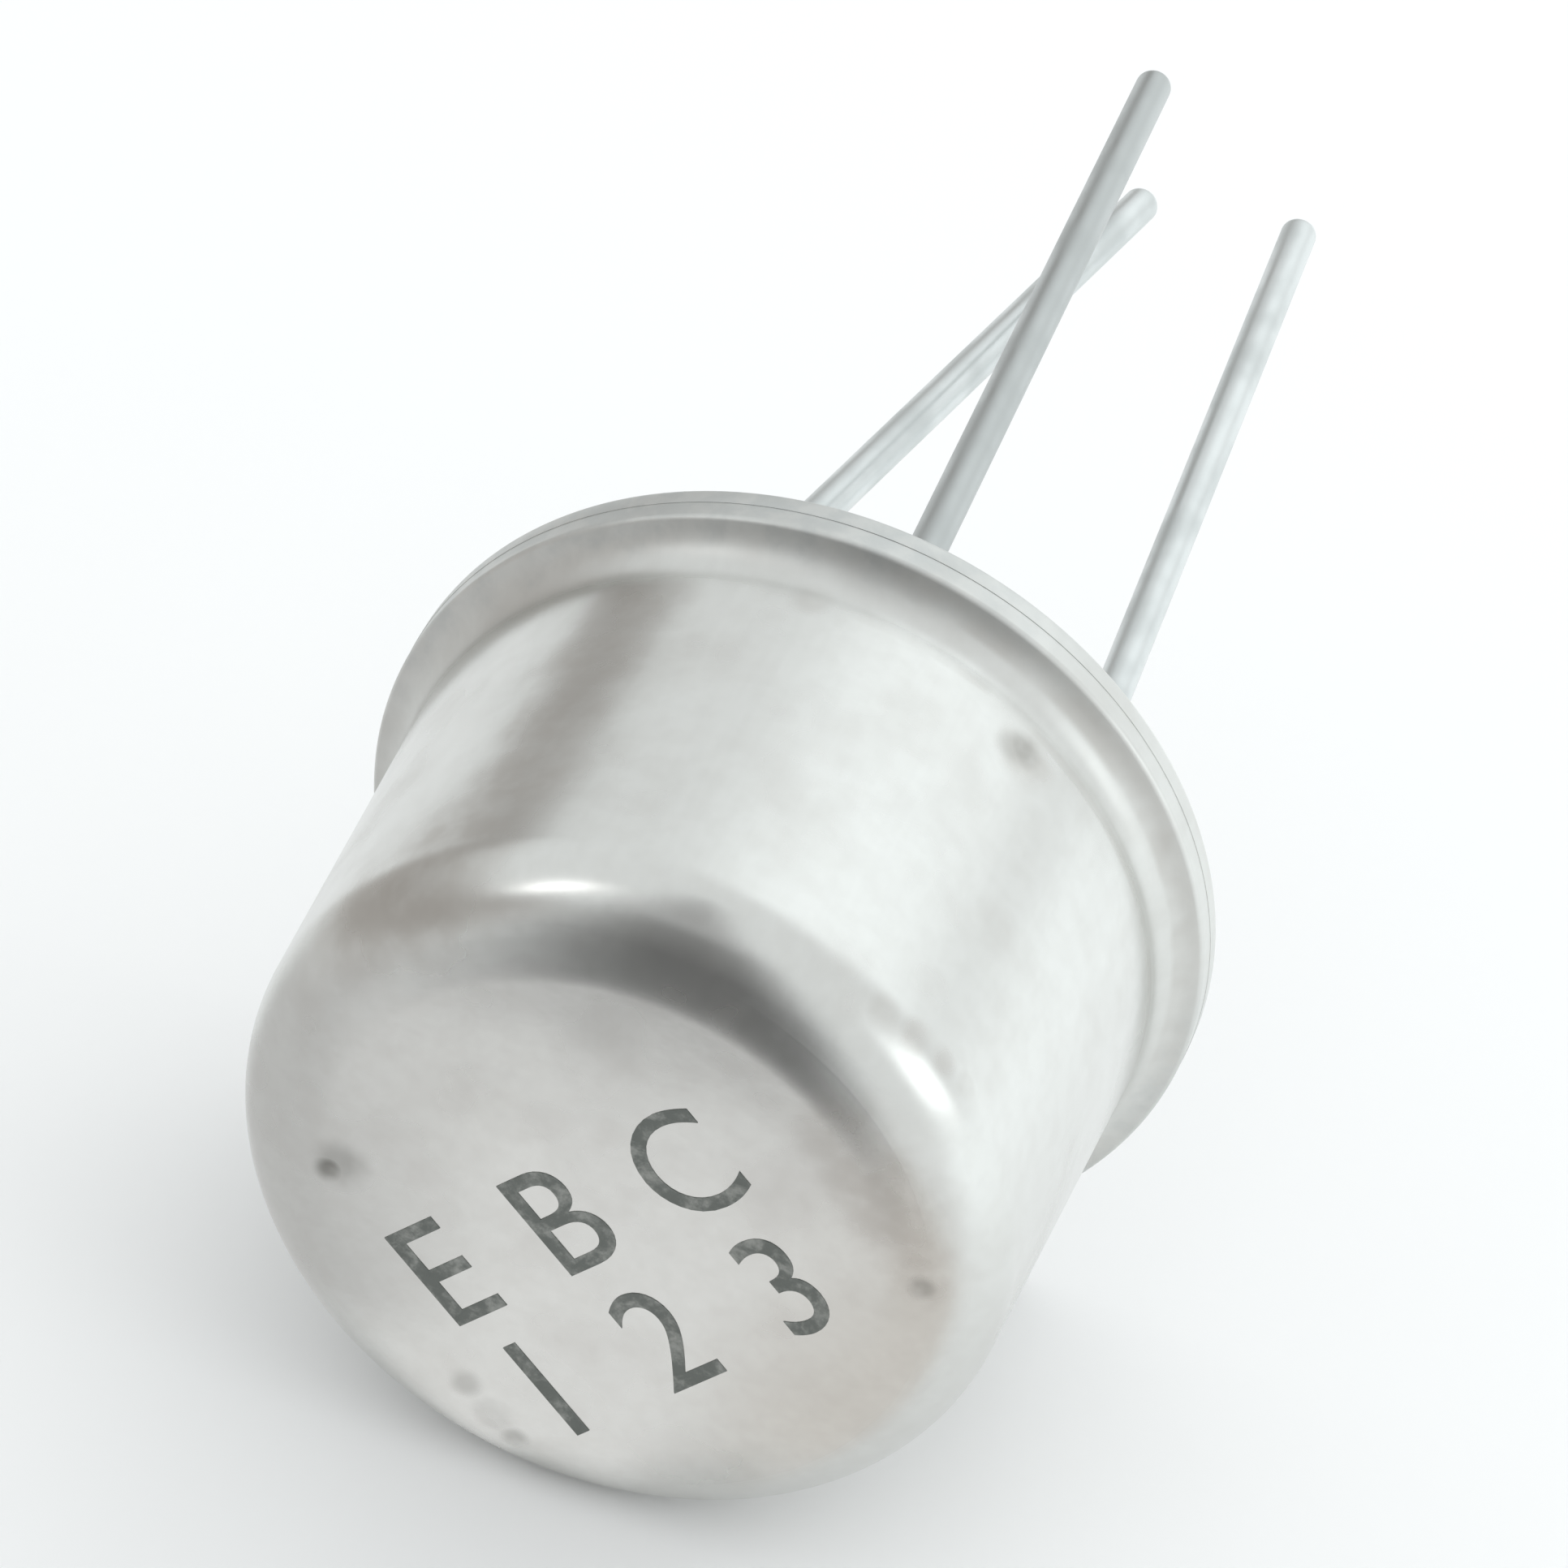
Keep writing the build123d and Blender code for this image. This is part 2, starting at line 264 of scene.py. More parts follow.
def can_radii():
    """The can's base, top and inner radius, and the radii of brim, flange and platform."""
    can, header = settings().can, settings().header
    base = can.base_diameter / 2
    inner = base - can.wall
    brim = base + can.brim_width
    return base, base - can.taper, inner, brim, brim + header.overhang, inner - header.platform_gap


def clock_direction(clock):
    """The sideways direction of a clock angle, in the package's frame."""
    return Vector((cos(clock), sin(clock), 0))


def lead_clock(place):
    """The clock angle of a lead: 0 is the emitter's place, 1 the base's and 2 the collector's."""
    leads = settings().leads
    return leads.emitter_clock + place * leads.spacing


def lead_seat(place):
    """The middle of a lead's opening in the seating plane."""
    header = settings().header
    radius = can_radii()[5] - header.seal_land - header.seal_diameter / 2
    return clock_direction(lead_clock(place)) * radius


# Shapes


def placed(name, data):
    """A new object in the scene, at the origin."""
    item = bpy.data.objects.new(name, data)
    bpy.context.scene.collection.objects.link(item)
    return item


def finished(name, mesh, slot, nodes=(), finish=None):
    """A finished piece from a mesh in the package's frame, lying as the transistor lies."""
    mesh.transform(lying_matrix())
    mesh.materials.clear()
    mesh.materials.append(finish_of(finish or slot))
    mesh.shade_smooth()
    mesh.set_sharp_from_angle(angle=SHARP_ANGLE)
    piece = placed(name, mesh)
    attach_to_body(piece, "root")
    if nodes:
        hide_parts(*nodes)
    return piece


def plain_mesh(name, shape):
    """A mesh from a bmesh, which is used up."""
    mesh = bpy.data.meshes.new(name)
    shape.to_mesh(mesh)
    shape.free()
    return mesh


def closed_mesh(name, shape):
    """A mesh from a bmesh, with doubles merged and every face pointing outwards."""
    bmesh.ops.remove_doubles(shape, verts=shape.verts, dist=CLOSE)
    bmesh.ops.recalc_face_normals(shape, faces=shape.faces)
    open_edges = [edge for edge in shape.edges if len(edge.link_faces) != 2]
    if open_edges:
        raise RuntimeError(f"{name} has {len(open_edges)} open edges")
    return plain_mesh(name, shape)


def shape_of(*meshes):
    """One bmesh of several meshes, which are used up."""
    shape = bmesh.new()
    for mesh in meshes:
        shape.from_mesh(mesh)
        bpy.data.meshes.remove(mesh)
    return shape


def final_shape(maker):
    """The bmesh that an object ends as, once its modifiers or its text are applied. The object goes."""
    graph = bpy.context.evaluated_depsgraph_get()
    mesh = bpy.data.meshes.new_from_object(maker.evaluated_get(graph), depsgraph=graph)
    bpy.data.objects.remove(maker)
    return shape_of(mesh)


def corner_arc(before, corner, after, radius, steps):
    """The points of a round that replaces a flat outline's corner."""
    into = (corner - before).normalized()
    out = (after - corner).normalized()
    turn = atan2(into.cross(out), into.dot(out))
    reach = radius * abs(tan(turn / 2))
    start = corner - into * reach
    side = Vector((-into.y, into.x)) * (1 if turn > 0 else -1)
    centre = start + side * radius
    arm = start - centre
    swings = [turn * step / steps for step in range(steps + 1)]
    return [centre + Matrix.Rotation(swing, 2) @ arm for swing in swings]


def rounded_outline(corners, steps=12):
    """A flat outline whose corners, each (radial, axial, radius), are rounded where a radius is given."""
    points = []
    for index, (radial, axial, radius) in enumerate(corners):
        corner = Vector((radial, axial))
        if radius <= 0:
            points.append(corner)
            continue
        before = Vector(corners[index - 1][:2])
        after = Vector(corners[(index + 1) % len(corners)][:2])
        points += corner_arc(before, corner, after, radius, steps)
    return points


def guarded(points, guard):
    """The outline with a point close to both ends of each long straight, so that shading stays crisp."""
    result = []
    for first, second in zip(points, points[1:]):
        result.append(first)
        step = second - first
        if step.length > 4 * guard:
            result += [first + step.normalized() * guard, second - step.normalized() * guard]
    return result + [points[-1]]


def turned(name, outline, sides, loop=False):
    """A closed turned mesh about Z from an outline of radial and axial values."""
    shape = bmesh.new()
    rings = [ring(shape, ORIGIN, radial, axial, sides) for radial, axial in outline]
    pairs = list(zip(rings, rings[1:]))
    if loop:
        pairs.append((rings[-1], rings[0]))
    for first, second in pairs:
        join_rings(shape, first, second)
    return closed_mesh(name, shape)


def join_rings(shape, first, second):
    """Faces between two rings of points, of which one may be a single point."""
    count = max(len(first), len(second))
    for side in range(count):
        after = (side + 1) % count
        picks = [first[side % len(first)], first[after % len(first)]]
        picks += [second[after % len(second)], second[side % len(second)]]
        corners = list(dict.fromkeys(picks))
        if len(corners) > 2:
            shape.faces.new(corners)


def ring(shape, centre, radius, height, sides):
    """A ring of points round a centre, at a height, or one point where the radius is nothing."""
    if radius < CLOSE:
        return [shape.verts.new((centre.x, centre.y, height))]
    turns = [2 * pi * side / sides for side in range(sides)]
    return [shape.verts.new((centre.x + radius * cos(a), centre.y + radius * sin(a), height)) for a in turns]


def fill_flat(shape, loops):
    """Flat faces between an outer loop of points and the loops of its holes."""
    points = [point for loop in loops for point in loop]
    for triangle in tessellate_polygon([[point.co for point in loop] for loop in loops]):
        shape.faces.new([points[index] for index in triangle])


# Pieces


def cap_mesh():
    """The drawn cap: brim, bend, tapered wall, round shoulder and flat face, with its inner wall."""
    can, header = settings().can, settings().header
    base, top_radius, inner, brim, _, _ = can_radii()
    low = header.flange
    brim_top = low + can.wall
    shoulder_low = can.height - can.shoulder_width * tan(can.shoulder_slope)
    sweep_top = brim_top + (brim - base) * tan(can.brim_slope)
    corners = [
        (0, can.height, 0),
        (top_radius - can.shoulder_width, can.height, can.shoulder_ease),
        (top_radius, shoulder_low, can.shoulder_radius),
        (base, sweep_top, can.brim_sweep),
        (brim, brim_top, can.brim_crown),
        (brim, low, can.brim_seam),
        (inner, low, can.brim_bend + can.wall),
        (top_radius - can.wall, can.height - can.wall, can.shoulder_radius - can.wall),
        (0, can.height - can.wall, 0),
    ]
    outline = guarded(rounded_outline(corners, steps=16), 0.04 * MM)
    return turned("cap", outline, can.sides)


def flange_loop(shape, inset, height):
    """The flange's outline with its tab, drawn in by an inset, at a height."""
    header, leads = settings().header, settings().leads
    radius = can_radii()[4]
    rim = radius - inset
    half = header.tab_width / 2 - inset
    reach = radius + header.tab_length - inset
    corner = header.tab_corner - inset
    root = asin(half / rim)
    tab_clock = leads.emitter_clock - leads.spacing / 2
    points = []
    rim_steps = 240
    for step in range(rim_steps + 1):
        swing = root + (2 * pi - 2 * root) * step / rim_steps
        points.append((rim * cos(swing), rim * sin(swing)))
    corner_steps = 8
    for side, start in ((-1, -pi / 2), (1, 0)):
        for step in range(corner_steps + 1):
            swing = start + pi / 2 * step / corner_steps
            across = side * (half - corner) + corner * sin(swing)
            points.append((reach - corner + corner * cos(swing), across))
    turn = Matrix.Rotation(tab_clock, 2)
    return [shape.verts.new((*(turn @ Vector(point)), height)) for point in points]


def header_mesh():
    """The header: flange and tab with rounded edges, platform, seal holes, pocket and socket."""
    header, leads = settings().header, settings().leads
    platform_radius = can_radii()[5]
    shape = bmesh.new()
    edge, seam = header.flange_edge, header.flange_seam
    guard = 0.03 * MM
    steps = 6
    loops = [flange_loop(shape, edge + guard, 0)]
    for step in range(steps + 1):
        swing = pi / 2 * step / steps
        loops.append(flange_loop(shape, edge * (1 - sin(swing)), edge * (1 - cos(swing))))
    for step in range(steps + 1):
        swing = pi / 2 * step / steps
        height = header.flange - seam * (1 - sin(swing))
        loops.append(flange_loop(shape, seam * (1 - cos(swing)), height))
    loops.append(flange_loop(shape, seam + guard, header.flange))
    for first, second in zip(loops, loops[1:]):
        join_rings(shape, first, second)
    platform_sides, hole_sides, socket_sides = 192, 96, 48
    bevel = header.platform_chamfer
    foot = ring(shape, ORIGIN, platform_radius, header.flange, platform_sides)
    waist = ring(shape, ORIGIN, platform_radius, header.platform - bevel, platform_sides)
    crown = ring(shape, ORIGIN, platform_radius - bevel, header.platform, platform_sides)
    fill_flat(shape, [loops[-1], foot])
    join_rings(shape, foot, waist)
    join_rings(shape, waist, crown)
    lower_holes, upper_holes = [], []
    for place in (0, 1):
        seat = lead_seat(place)
        lower_holes.append(ring(shape, seat, header.seal_diameter / 2, 0, hole_sides))
        upper_holes.append(ring(shape, seat, header.seal_diameter / 2, header.platform, hole_sides))
        join_rings(shape, lower_holes[-1], upper_holes[-1])
    seat = lead_seat(2)
    mouth = ring(shape, seat, header.pocket_diameter / 2, 0, hole_sides)
    floor = ring(shape, seat, header.pocket_diameter / 2, header.pocket_depth, hole_sides)
    socket = ring(shape, seat, leads.diameter / 2, header.pocket_depth, socket_sides)
    end = ring(shape, seat, leads.diameter / 2, header.socket_depth, socket_sides)
    join_rings(shape, mouth, floor)
    fill_flat(shape, [floor, socket])
    join_rings(shape, socket, end)
    fill_flat(shape, [end])
    fill_flat(shape, [loops[0], *lower_holes, mouth])
    fill_flat(shape, [crown, *upper_holes])
    return closed_mesh("header", shape)


def seal_mesh(name, place):
    """A glass bead round a lead, dished at both ends."""
    header, leads = settings().header, settings().leads
    inner, outer = leads.diameter / 2, header.seal_diameter / 2
    steps = 12
    lower, upper = [], []
    for step in range(steps + 1):
        share = step / steps
        radial = inner + (outer - inner) * share
        sink = header.seal_recess + header.seal_dish * (1 - (2 * share - 1) ** 2)
        lower.append((radial, sink))
        upper.append((radial, header.platform - sink))
    mesh = turned(name, lower + upper[::-1], sides=96, loop=True)
    mesh.transform(Matrix.Translation(lead_seat(place)))
    return mesh


def braze_mesh():
    """The collar of braze round the collector lead, hollow in its slope."""
    header, leads = settings().header, settings().leads
    inner = leads.diameter / 2
    floor = header.pocket_depth
    steps = 10
    outline = [(inner, floor)]
    for step in range(steps + 1):
        swing = pi / 2 * step / steps
        radial = inner + header.braze_spread * (1 - sin(swing))
        outline.append((radial, floor - header.braze_height * (1 - cos(swing))))
    mesh = turned("collector_braze", outline, sides=72, loop=True)
    mesh.transform(Matrix.Translation(lead_seat(2)))
    return mesh


def lead_points(place, knee, end, top):
    """A lead's route: inner top, foot, knee and outer end, in the package's frame."""
    leads = settings().leads
    seat = lead_seat(place)
    foot = seat - Vector((0, 0, leads.foot))
    bend = seat + Vector((knee[0] * MM, knee[1] * MM, -leads.foot - leads.jog))
    left = leads.reach - leads.foot - (bend - foot).length
    aside = Vector(((end[0] - knee[0]) * MM, (end[1] - knee[1]) * MM, 0))
    tip = bend + aside - Vector((0, 0, sqrt(left**2 - aside.length**2)))
    return [seat + Vector((0, 0, top)), foot, bend, tip]


def bend_radii(points, foot, largest):
    """The radius of each bend, or less where the straight beside it is too short."""
    usable = 0.9
    jog = (points[2] - points[1]).length / 2
    radii = [0.0]
    for index, room in ((1, min(foot, jog)), (2, jog)):
        turn = (points[index] - points[index - 1]).angle(points[index + 1] - points[index])
        radii.append(min(largest, usable * room / tan(turn / 2)))
    return radii + [0.0]


def wire_tree():
    """Nodes that draw a round wire along a route, with its bends rounded and its ends closed."""
    tree = bpy.data.node_groups.new("drawn_wire", "GeometryNodeTree")
    face = tree.interface
    face.new_socket(name="Geometry", in_out="OUTPUT", socket_type="NodeSocketGeometry")
    face.new_socket(name="Route", in_out="INPUT", socket_type="NodeSocketGeometry")
    for name, kind in (
        ("Wire radius", "NodeSocketFloat"),
        ("Bend steps", "NodeSocketInt"),
        ("Sides", "NodeSocketInt"),
        ("Finish", "NodeSocketMaterial"),
    ):
        face.new_socket(name=name, in_out="INPUT", socket_type=kind)
    add = tree.nodes.new
    given, made = add("NodeGroupInput"), add("NodeGroupOutput")
    curve, bends = add("GeometryNodeMeshToCurve"), add("GeometryNodeFilletCurve")
    bend = add("GeometryNodeInputNamedAttribute")
    section, skin = add("GeometryNodeCurvePrimitiveCircle"), add("GeometryNodeCurveToMesh")
    smooth, real = add("GeometryNodeSetShadeSmooth"), add("GeometryNodeRealizeInstances")
    finish = add("GeometryNodeSetMaterial")
    bend.data_type = "FLOAT"
    bend.inputs["Name"].default_value = "bend"
    bends.mode = "POLY"
    bends.inputs["Limit Radius"].default_value = True
    skin.inputs["Fill Caps"].default_value = True
    join = tree.links.new
    join(given.outputs["Route"], curve.inputs[0])
    join(curve.outputs[0], bends.inputs["Curve"])
    join(bend.outputs["Attribute"], bends.inputs["Radius"])
    join(given.outputs["Bend steps"], bends.inputs["Count"])
    join(bends.outputs[0], skin.inputs["Curve"])
    join(given.outputs["Wire radius"], section.inputs["Radius"])
    join(given.outputs["Sides"], section.inputs["Resolution"])
    join(section.outputs[0], skin.inputs["Profile Curve"])
    join(skin.outputs[0], smooth.inputs[0])
    join(smooth.outputs[0], real.inputs[0])
    join(real.outputs[0], finish.inputs["Geometry"])
    join(given.outputs["Finish"], finish.inputs["Material"])
    join(finish.outputs[0], made.inputs[0])
    return tree


def drawn_wire(name, points, bends, material, radius, sides, bend_steps, end_round=0.0):
    """A round wire along a route of points, with a bend radius at each and its last end rounded."""
    tree = bpy.data.node_groups.get("drawn_wire") or wire_tree()
    line = bpy.data.meshes.new(f"{name}_route")
    line.from_pydata(points, [(i, i + 1) for i in range(len(points) - 1)], [])
    line.attributes.new("bend", "FLOAT", "POINT").data.foreach_set("value", bends)
    guide = placed(f"{name}_route", line)
    maker = guide.modifiers.new("drawn_wire", "NODES")
    maker.node_group = tree
    values = {"Wire radius": radius, "Bend steps": bend_steps, "Sides": sides, "Finish": material}
    for item in tree.interface.items_tree:
        if item.in_out == "INPUT" and item.name in values:
            maker[item.identifier] = values[item.name]
    shape = final_shape(guide)
    bpy.data.meshes.remove(line)
    if end_round:
        round_off(shape, points[-1], end_round)
    return closed_mesh(name, shape)


def round_off(shape, tip, rounding):
    """Rounds the edge of the flat end nearest to the tip."""
    ends = [face for face in shape.faces if len(face.verts) > 4]
    end = min(ends, key=lambda face: (face.calc_center_median() - tip).length)
    bmesh.ops.bevel(
        shape, geom=end.edges[:], offset=rounding, segments=8, profile=0.5, affect="EDGES",
        clamp_overlap=False,
    )


def chip_mesh(name, side, low, height, soften):
    """A square plate in the middle of the platform, with slightly soft edges."""
    shape = bmesh.new()
    bmesh.ops.create_cube(shape, size=1)
    bmesh.ops.scale(shape, vec=(side, side, height), verts=shape.verts)
    bmesh.ops.bevel(
        shape, geom=shape.edges[:], offset=soften, segments=3, profile=0.6, affect="EDGES"
    )
    mesh = closed_mesh(name, shape)
    clock = settings().leads.emitter_clock
    mesh.transform(Matrix.Translation((0, 0, low + height / 2)) @ Matrix.Rotation(clock, 4, "Z"))
    return mesh


def bond_wire_mesh(name, place, pad_side, post_side):
    """A looped gold wire from the chip to a post, with a flattened bond at each end."""
    chip, leads, header = settings().chip, settings().leads, settings().header
    out, side = clock_direction(lead_clock(place)), clock_direction(lead_clock(place + 1))
    chip_top = header.platform + chip.attach + chip.thickness
    post_top = header.platform + leads.post
    pad = out * (chip.side / 2 - chip.pad_inset) + side * pad_side + Vector((0, 0, chip_top))
    post = out * lead_seat(place).length + side * post_side + Vector((0, 0, post_top))
    crest = post_top + chip.loop
    points = [pad, Vector((pad.x, pad.y, crest)), Vector((post.x, post.y, crest)), post]
    bends = [0.0, chip.wire_bend, chip.wire_bend, 0.0]
    wire = drawn_wire(name, points, bends, finish_of("gold"), chip.wire / 2, sides=12, bend_steps=10)
    radius, high = chip.bond / 2, chip.bond_height
    corners = [(0, high, 0), (radius, high, high * 0.45), (radius, 0, high * 0.2), (0, 0, 0)]
    feet = []
    for seat in (pad, post):
        foot = turned(f"{name}_foot", rounded_outline(corners, steps=4), sides=24)
        foot.transform(Matrix.Translation(seat))
        feet.append(foot)
    return plain_mesh(name, shape_of(wire, *feet))


def pin_key_mesh():
    """The stamped pin key: the three leads' letters over their numbers, on the cap's face."""
    key, can = settings().key, settings().can
    read = clock_direction(key.clock)
    up = clock_direction(key.clock + pi / 2)
    middle = Vector((key.centre_x, key.centre_y, can.height))
    letters = []
    for row, line in enumerate(("EBC", "123")):
        for column, character in enumerate(line):
            place = middle + read * (column - 1) * key.column_pitch - up * row * key.line_pitch
            letters.append(letter_mesh(character, place, read, up))
    return plain_mesh("pin_key", shape_of(*letters))


def letter_mesh(character, place, read, up):
    """One letter, its middle over the place, with its feet on the line."""
    key = settings().key
    narrowed, lifted = 0.92, 0.4
    text = bpy.data.curves.new("letter", "FONT")
    text.body = character
    text.size = 1.0
    text.resolution_u = 8
    text.extrude = 0.5
    shape = final_shape(placed("letter", text))
    bpy.data.curves.remove(text)
    across = [point.co.x for point in shape.verts]
    upright = [point.co.y for point in shape.verts]
    tall = key.letter / (max(upright) - min(upright))
    centred = Matrix.Translation((-(min(across) + max(across)) / 2, -min(upright), 0))
    sized = Matrix.Diagonal((narrowed * tall, tall, key.thickness, 1))
    turn = Matrix((read, up, Vector((0, 0, 1)))).transposed().to_4x4()
    seated = Matrix.Translation(place + Vector((0, 0, key.thickness * lifted)))
    shape.transform(seated @ turn @ sized @ centred)
    return closed_mesh("letter", shape)


# Finishes


class Wiring:
    """A material and its nodes, added and joined one by one."""

    def __init__(self, name):
        self.material = bpy.data.materials.new(name)
        self.material.use_nodes = True
        self.tree = self.material.node_tree
        self.surface = self.tree.nodes["Principled BSDF"]

    def give(self, socket, value):
        """Sets a socket to a value, or joins it to another node's output."""
        if isinstance(value, bpy.types.NodeSocket):
            self.tree.links.new(value, socket)
        else:
            socket.default_value = value

    def fill(self, node, inputs):
        """Gives a node its inputs by name, with low lines for spaces."""
        for name, value in inputs.items():
            self.give(node.inputs[name.replace("_", " ")], value)
        return node

    def add(self, kind, **inputs):
        """A node of that kind with its inputs."""
        return self.fill(self.tree.nodes.new(kind), inputs)

    def coated(self, **inputs):
        """The finished material, its surface given these inputs."""
        self.fill(self.surface, inputs)
        return self.material

    def place(self, stretch=(1, 1, 1)):
        """The point on the piece in millimetres of the package's frame, stretched along its axes."""
        source = self.add("ShaderNodeTexCoord").outputs["Object"]
        turn = lying_matrix().to_3x3().inverted().to_euler()
        package = self.add("ShaderNodeMapping", Vector=source, Rotation=turn).outputs[0]
        scale = [share / MM for share in stretch]
        return self.add("ShaderNodeMapping", Vector=package, Scale=scale).outputs[0]

    def parts(self, where):
        """The three values of a place."""
        return self.add("ShaderNodeSeparateXYZ", Vector=where).outputs[:]

    def noise(self, where, scale, detail=3.0, roughness=0.5, distortion=0.0):
        """Even grey noise."""
        given = dict(Scale=scale, Detail=detail, Roughness=roughness, Distortion=distortion)
        return self.add("ShaderNodeTexNoise", Vector=where, **given).outputs["Fac"]

    def spread(self, value, low, high, low_out=0.0, high_out=1.0):
        """The value from low to high, carried over softly to another range and kept inside it."""
        given = dict(From_Min=low, From_Max=high, To_Min=low_out, To_Max=high_out)
        node = self.add("ShaderNodeMapRange", Value=value, **given)
        node.interpolation_type = "SMOOTHSTEP"
        return node.outputs["Result"]

    def math(self, operation, value, *others):
        """A value put together with each of the others in turn."""
        for other in others:
            node = self.add("ShaderNodeMath")
            node.operation = operation
            self.give(node.inputs[0], value)
            self.give(node.inputs[1], other)
            value = node.outputs[0]
        return value

    def compare(self, operation, where, other):
        """A number from a place and a fixed vector, such as their distance."""
        node = self.add("ShaderNodeVectorMath")
        node.operation = operation
        self.give(node.inputs[0], where)
        node.inputs[1].default_value = other
        return node.outputs["Value"]

    def layers(self, shade, *coats):
        """A colour under several coats, each given as its share and its colour."""
        for share, coat in coats:
            node = self.tree.nodes.new("ShaderNodeMix")
            node.data_type = "RGBA"
            self.give(node.inputs["Factor"], share)
            for socket, tone in (("A", shade), ("B", coat)):
                plain = not isinstance(tone, bpy.types.NodeSocket)
                self.give(node.inputs[socket], (*tone, 1) if plain else tone)
            shade = node.outputs["Result"]
        return shade

    def spots(self, where, spots):
        """Soft round spots, each given as its centre and radius in millimetres and its strength."""
        shares = []
        for centre, radius, strength in spots:
            away = self.compare("DISTANCE", where, centre)
            shares.append(self.spread(away, radius * 0.25, radius, strength, 0.0))
        return self.math("MAXIMUM", *shares)

    def relief(self, *layers):
        """A relief of several layers, each given as its height, strength and depth in millimetres."""
        normal = None
        for height, strength, depth in layers:
            node = self.add("ShaderNodeBump", Height=height, Strength=strength, Distance=depth * MM)
            if normal is not None:
                self.give(node.inputs["Normal"], normal)
            normal = node.outputs["Normal"]
        return normal


GRIME_SPOTS = (
    ((-2.59, -1.15, 6.2), 0.22, 0.75),
    ((-2.50, -1.02, 6.2), 0.40, 0.35),
    ((3.03, 1.23, 6.18), 0.20, 0.50),
    ((1.46, 3.81, 1.38), 0.28, 0.30),
    ((1.34, 3.85, 1.48), 0.26, 0.18),
    ((0.0, -3.10, 6.2), 0.30, 0.30),
    ((0.30, -3.26, 6.18), 0.22, 0.38),
    ((-0.40, -2.87, 6.2), 0.24, 0.30),
)
# Soft brown spots: some are real marks, and the rows marked below are painted reflection.
STAIN_AND_REFLECTION_SPOTS = (
    ((3.03, 1.23, 6.18), 0.45, 0.55),
    # Painted reflection: these four spots darken the face's edge along the tail of the dark reflected arc.
    ((1.65, 2.45, 6.2), 0.75, 0.60),
    ((2.05, 2.20, 6.2), 0.80, 0.75),
    ((2.45, 1.92, 6.17), 0.80, 0.75),
    ((2.75, 1.65, 6.15), 0.60, 0.70),
    # A thin brown line along the shoulder, above the right highlight.
    ((1.40, 3.68, 5.62), 0.26, 0.40),
    ((1.79, 3.53, 5.55), 0.26, 0.60),
    ((2.15, 3.34, 5.46), 0.24, 0.60),
    ((2.45, 3.14, 5.39), 0.22, 0.40),
    ((1.52, 3.80, 1.45), 0.50, 0.65),
    ((2.06, 3.46, 3.60), 0.50, 0.30),
    ((2.34, -2.20, 6.2), 0.55, 0.30),
    # Painted reflection: these seven spots paint the brown reflected streak up the left side of the wall.
    ((-2.60, 3.12, 1.5), 0.80, 0.60),
    ((-2.70, 3.02, 2.4), 0.85, 0.75),
    ((-2.76, 2.95, 3.3), 0.85, 0.80),
    ((-2.74, 2.92, 4.3), 0.90, 0.80),
    ((-2.95, 2.62, 5.2), 1.10, 0.80),
    ((-3.05, 2.25, 5.85), 1.00, 0.70),
    ((-3.30, 1.60, 5.75), 0.90, 0.60),
    ((-1.10, 3.94, 1.07), 0.30, 0.40),
)


def side_share(wiring, where, clock, radius, low, high):
    """How far a place lies towards a clock angle: 0 at the low share of the radius, 1 at the high one."""
    turn = radians(clock)
    towards = wiring.compare("DOT_PRODUCT", where, (cos(turn) / radius, sin(turn) / radius, 0))
    return wiring.spread(towards, low, high)


def rim_film(wiring, where):
    """A greyed, mottled zone on two sides of the rim, fading towards the wall, and how matt the rim is."""
    height = wiring.parts(where)[2]
    far = side_share(wiring, where, 130, 4.4, 0.35, 0.92)
    near = side_share(wiring, where, -27, 4.4, 0.62, 0.95)
    cloud = wiring.noise(where, 2.4, 3.0, 0.6, 0.3)
    mottle = wiring.spread(wiring.noise(where, 3.4, 3.0, 0.6), 0.35, 0.62, 0.45, 1.0)
    uneven = wiring.math("ADD", height, wiring.math("MULTIPLY", cloud, -0.7))
    low = wiring.spread(uneven, 0.0, 0.36, 1.0, 0.0)
    zone = wiring.math("MULTIPLY", wiring.math("MAXIMUM", far, near), low, mottle)
    return zone, wiring.spread(height, 0.60, 1.15, 0.20, 0.0)


def painted_shade_line(wiring, where, height, half_width, strength):
    """A thin uneven line of painted shade on one side of the can, at a height in millimetres."""
    above = wiring.math("SUBTRACT", wiring.parts(where)[2], height)
    line = wiring.spread(wiring.math("ABSOLUTE", above, 0.0), half_width * 0.3, half_width, strength, 0.0)
    broken = wiring.spread(wiring.noise(where, 1.3, 2.0, 0.5), 0.30, 0.60, 0.25, 1.0)
    return wiring.math("MULTIPLY", line, broken, side_share(wiring, where, 50, 4.1, 0.55, 0.85))


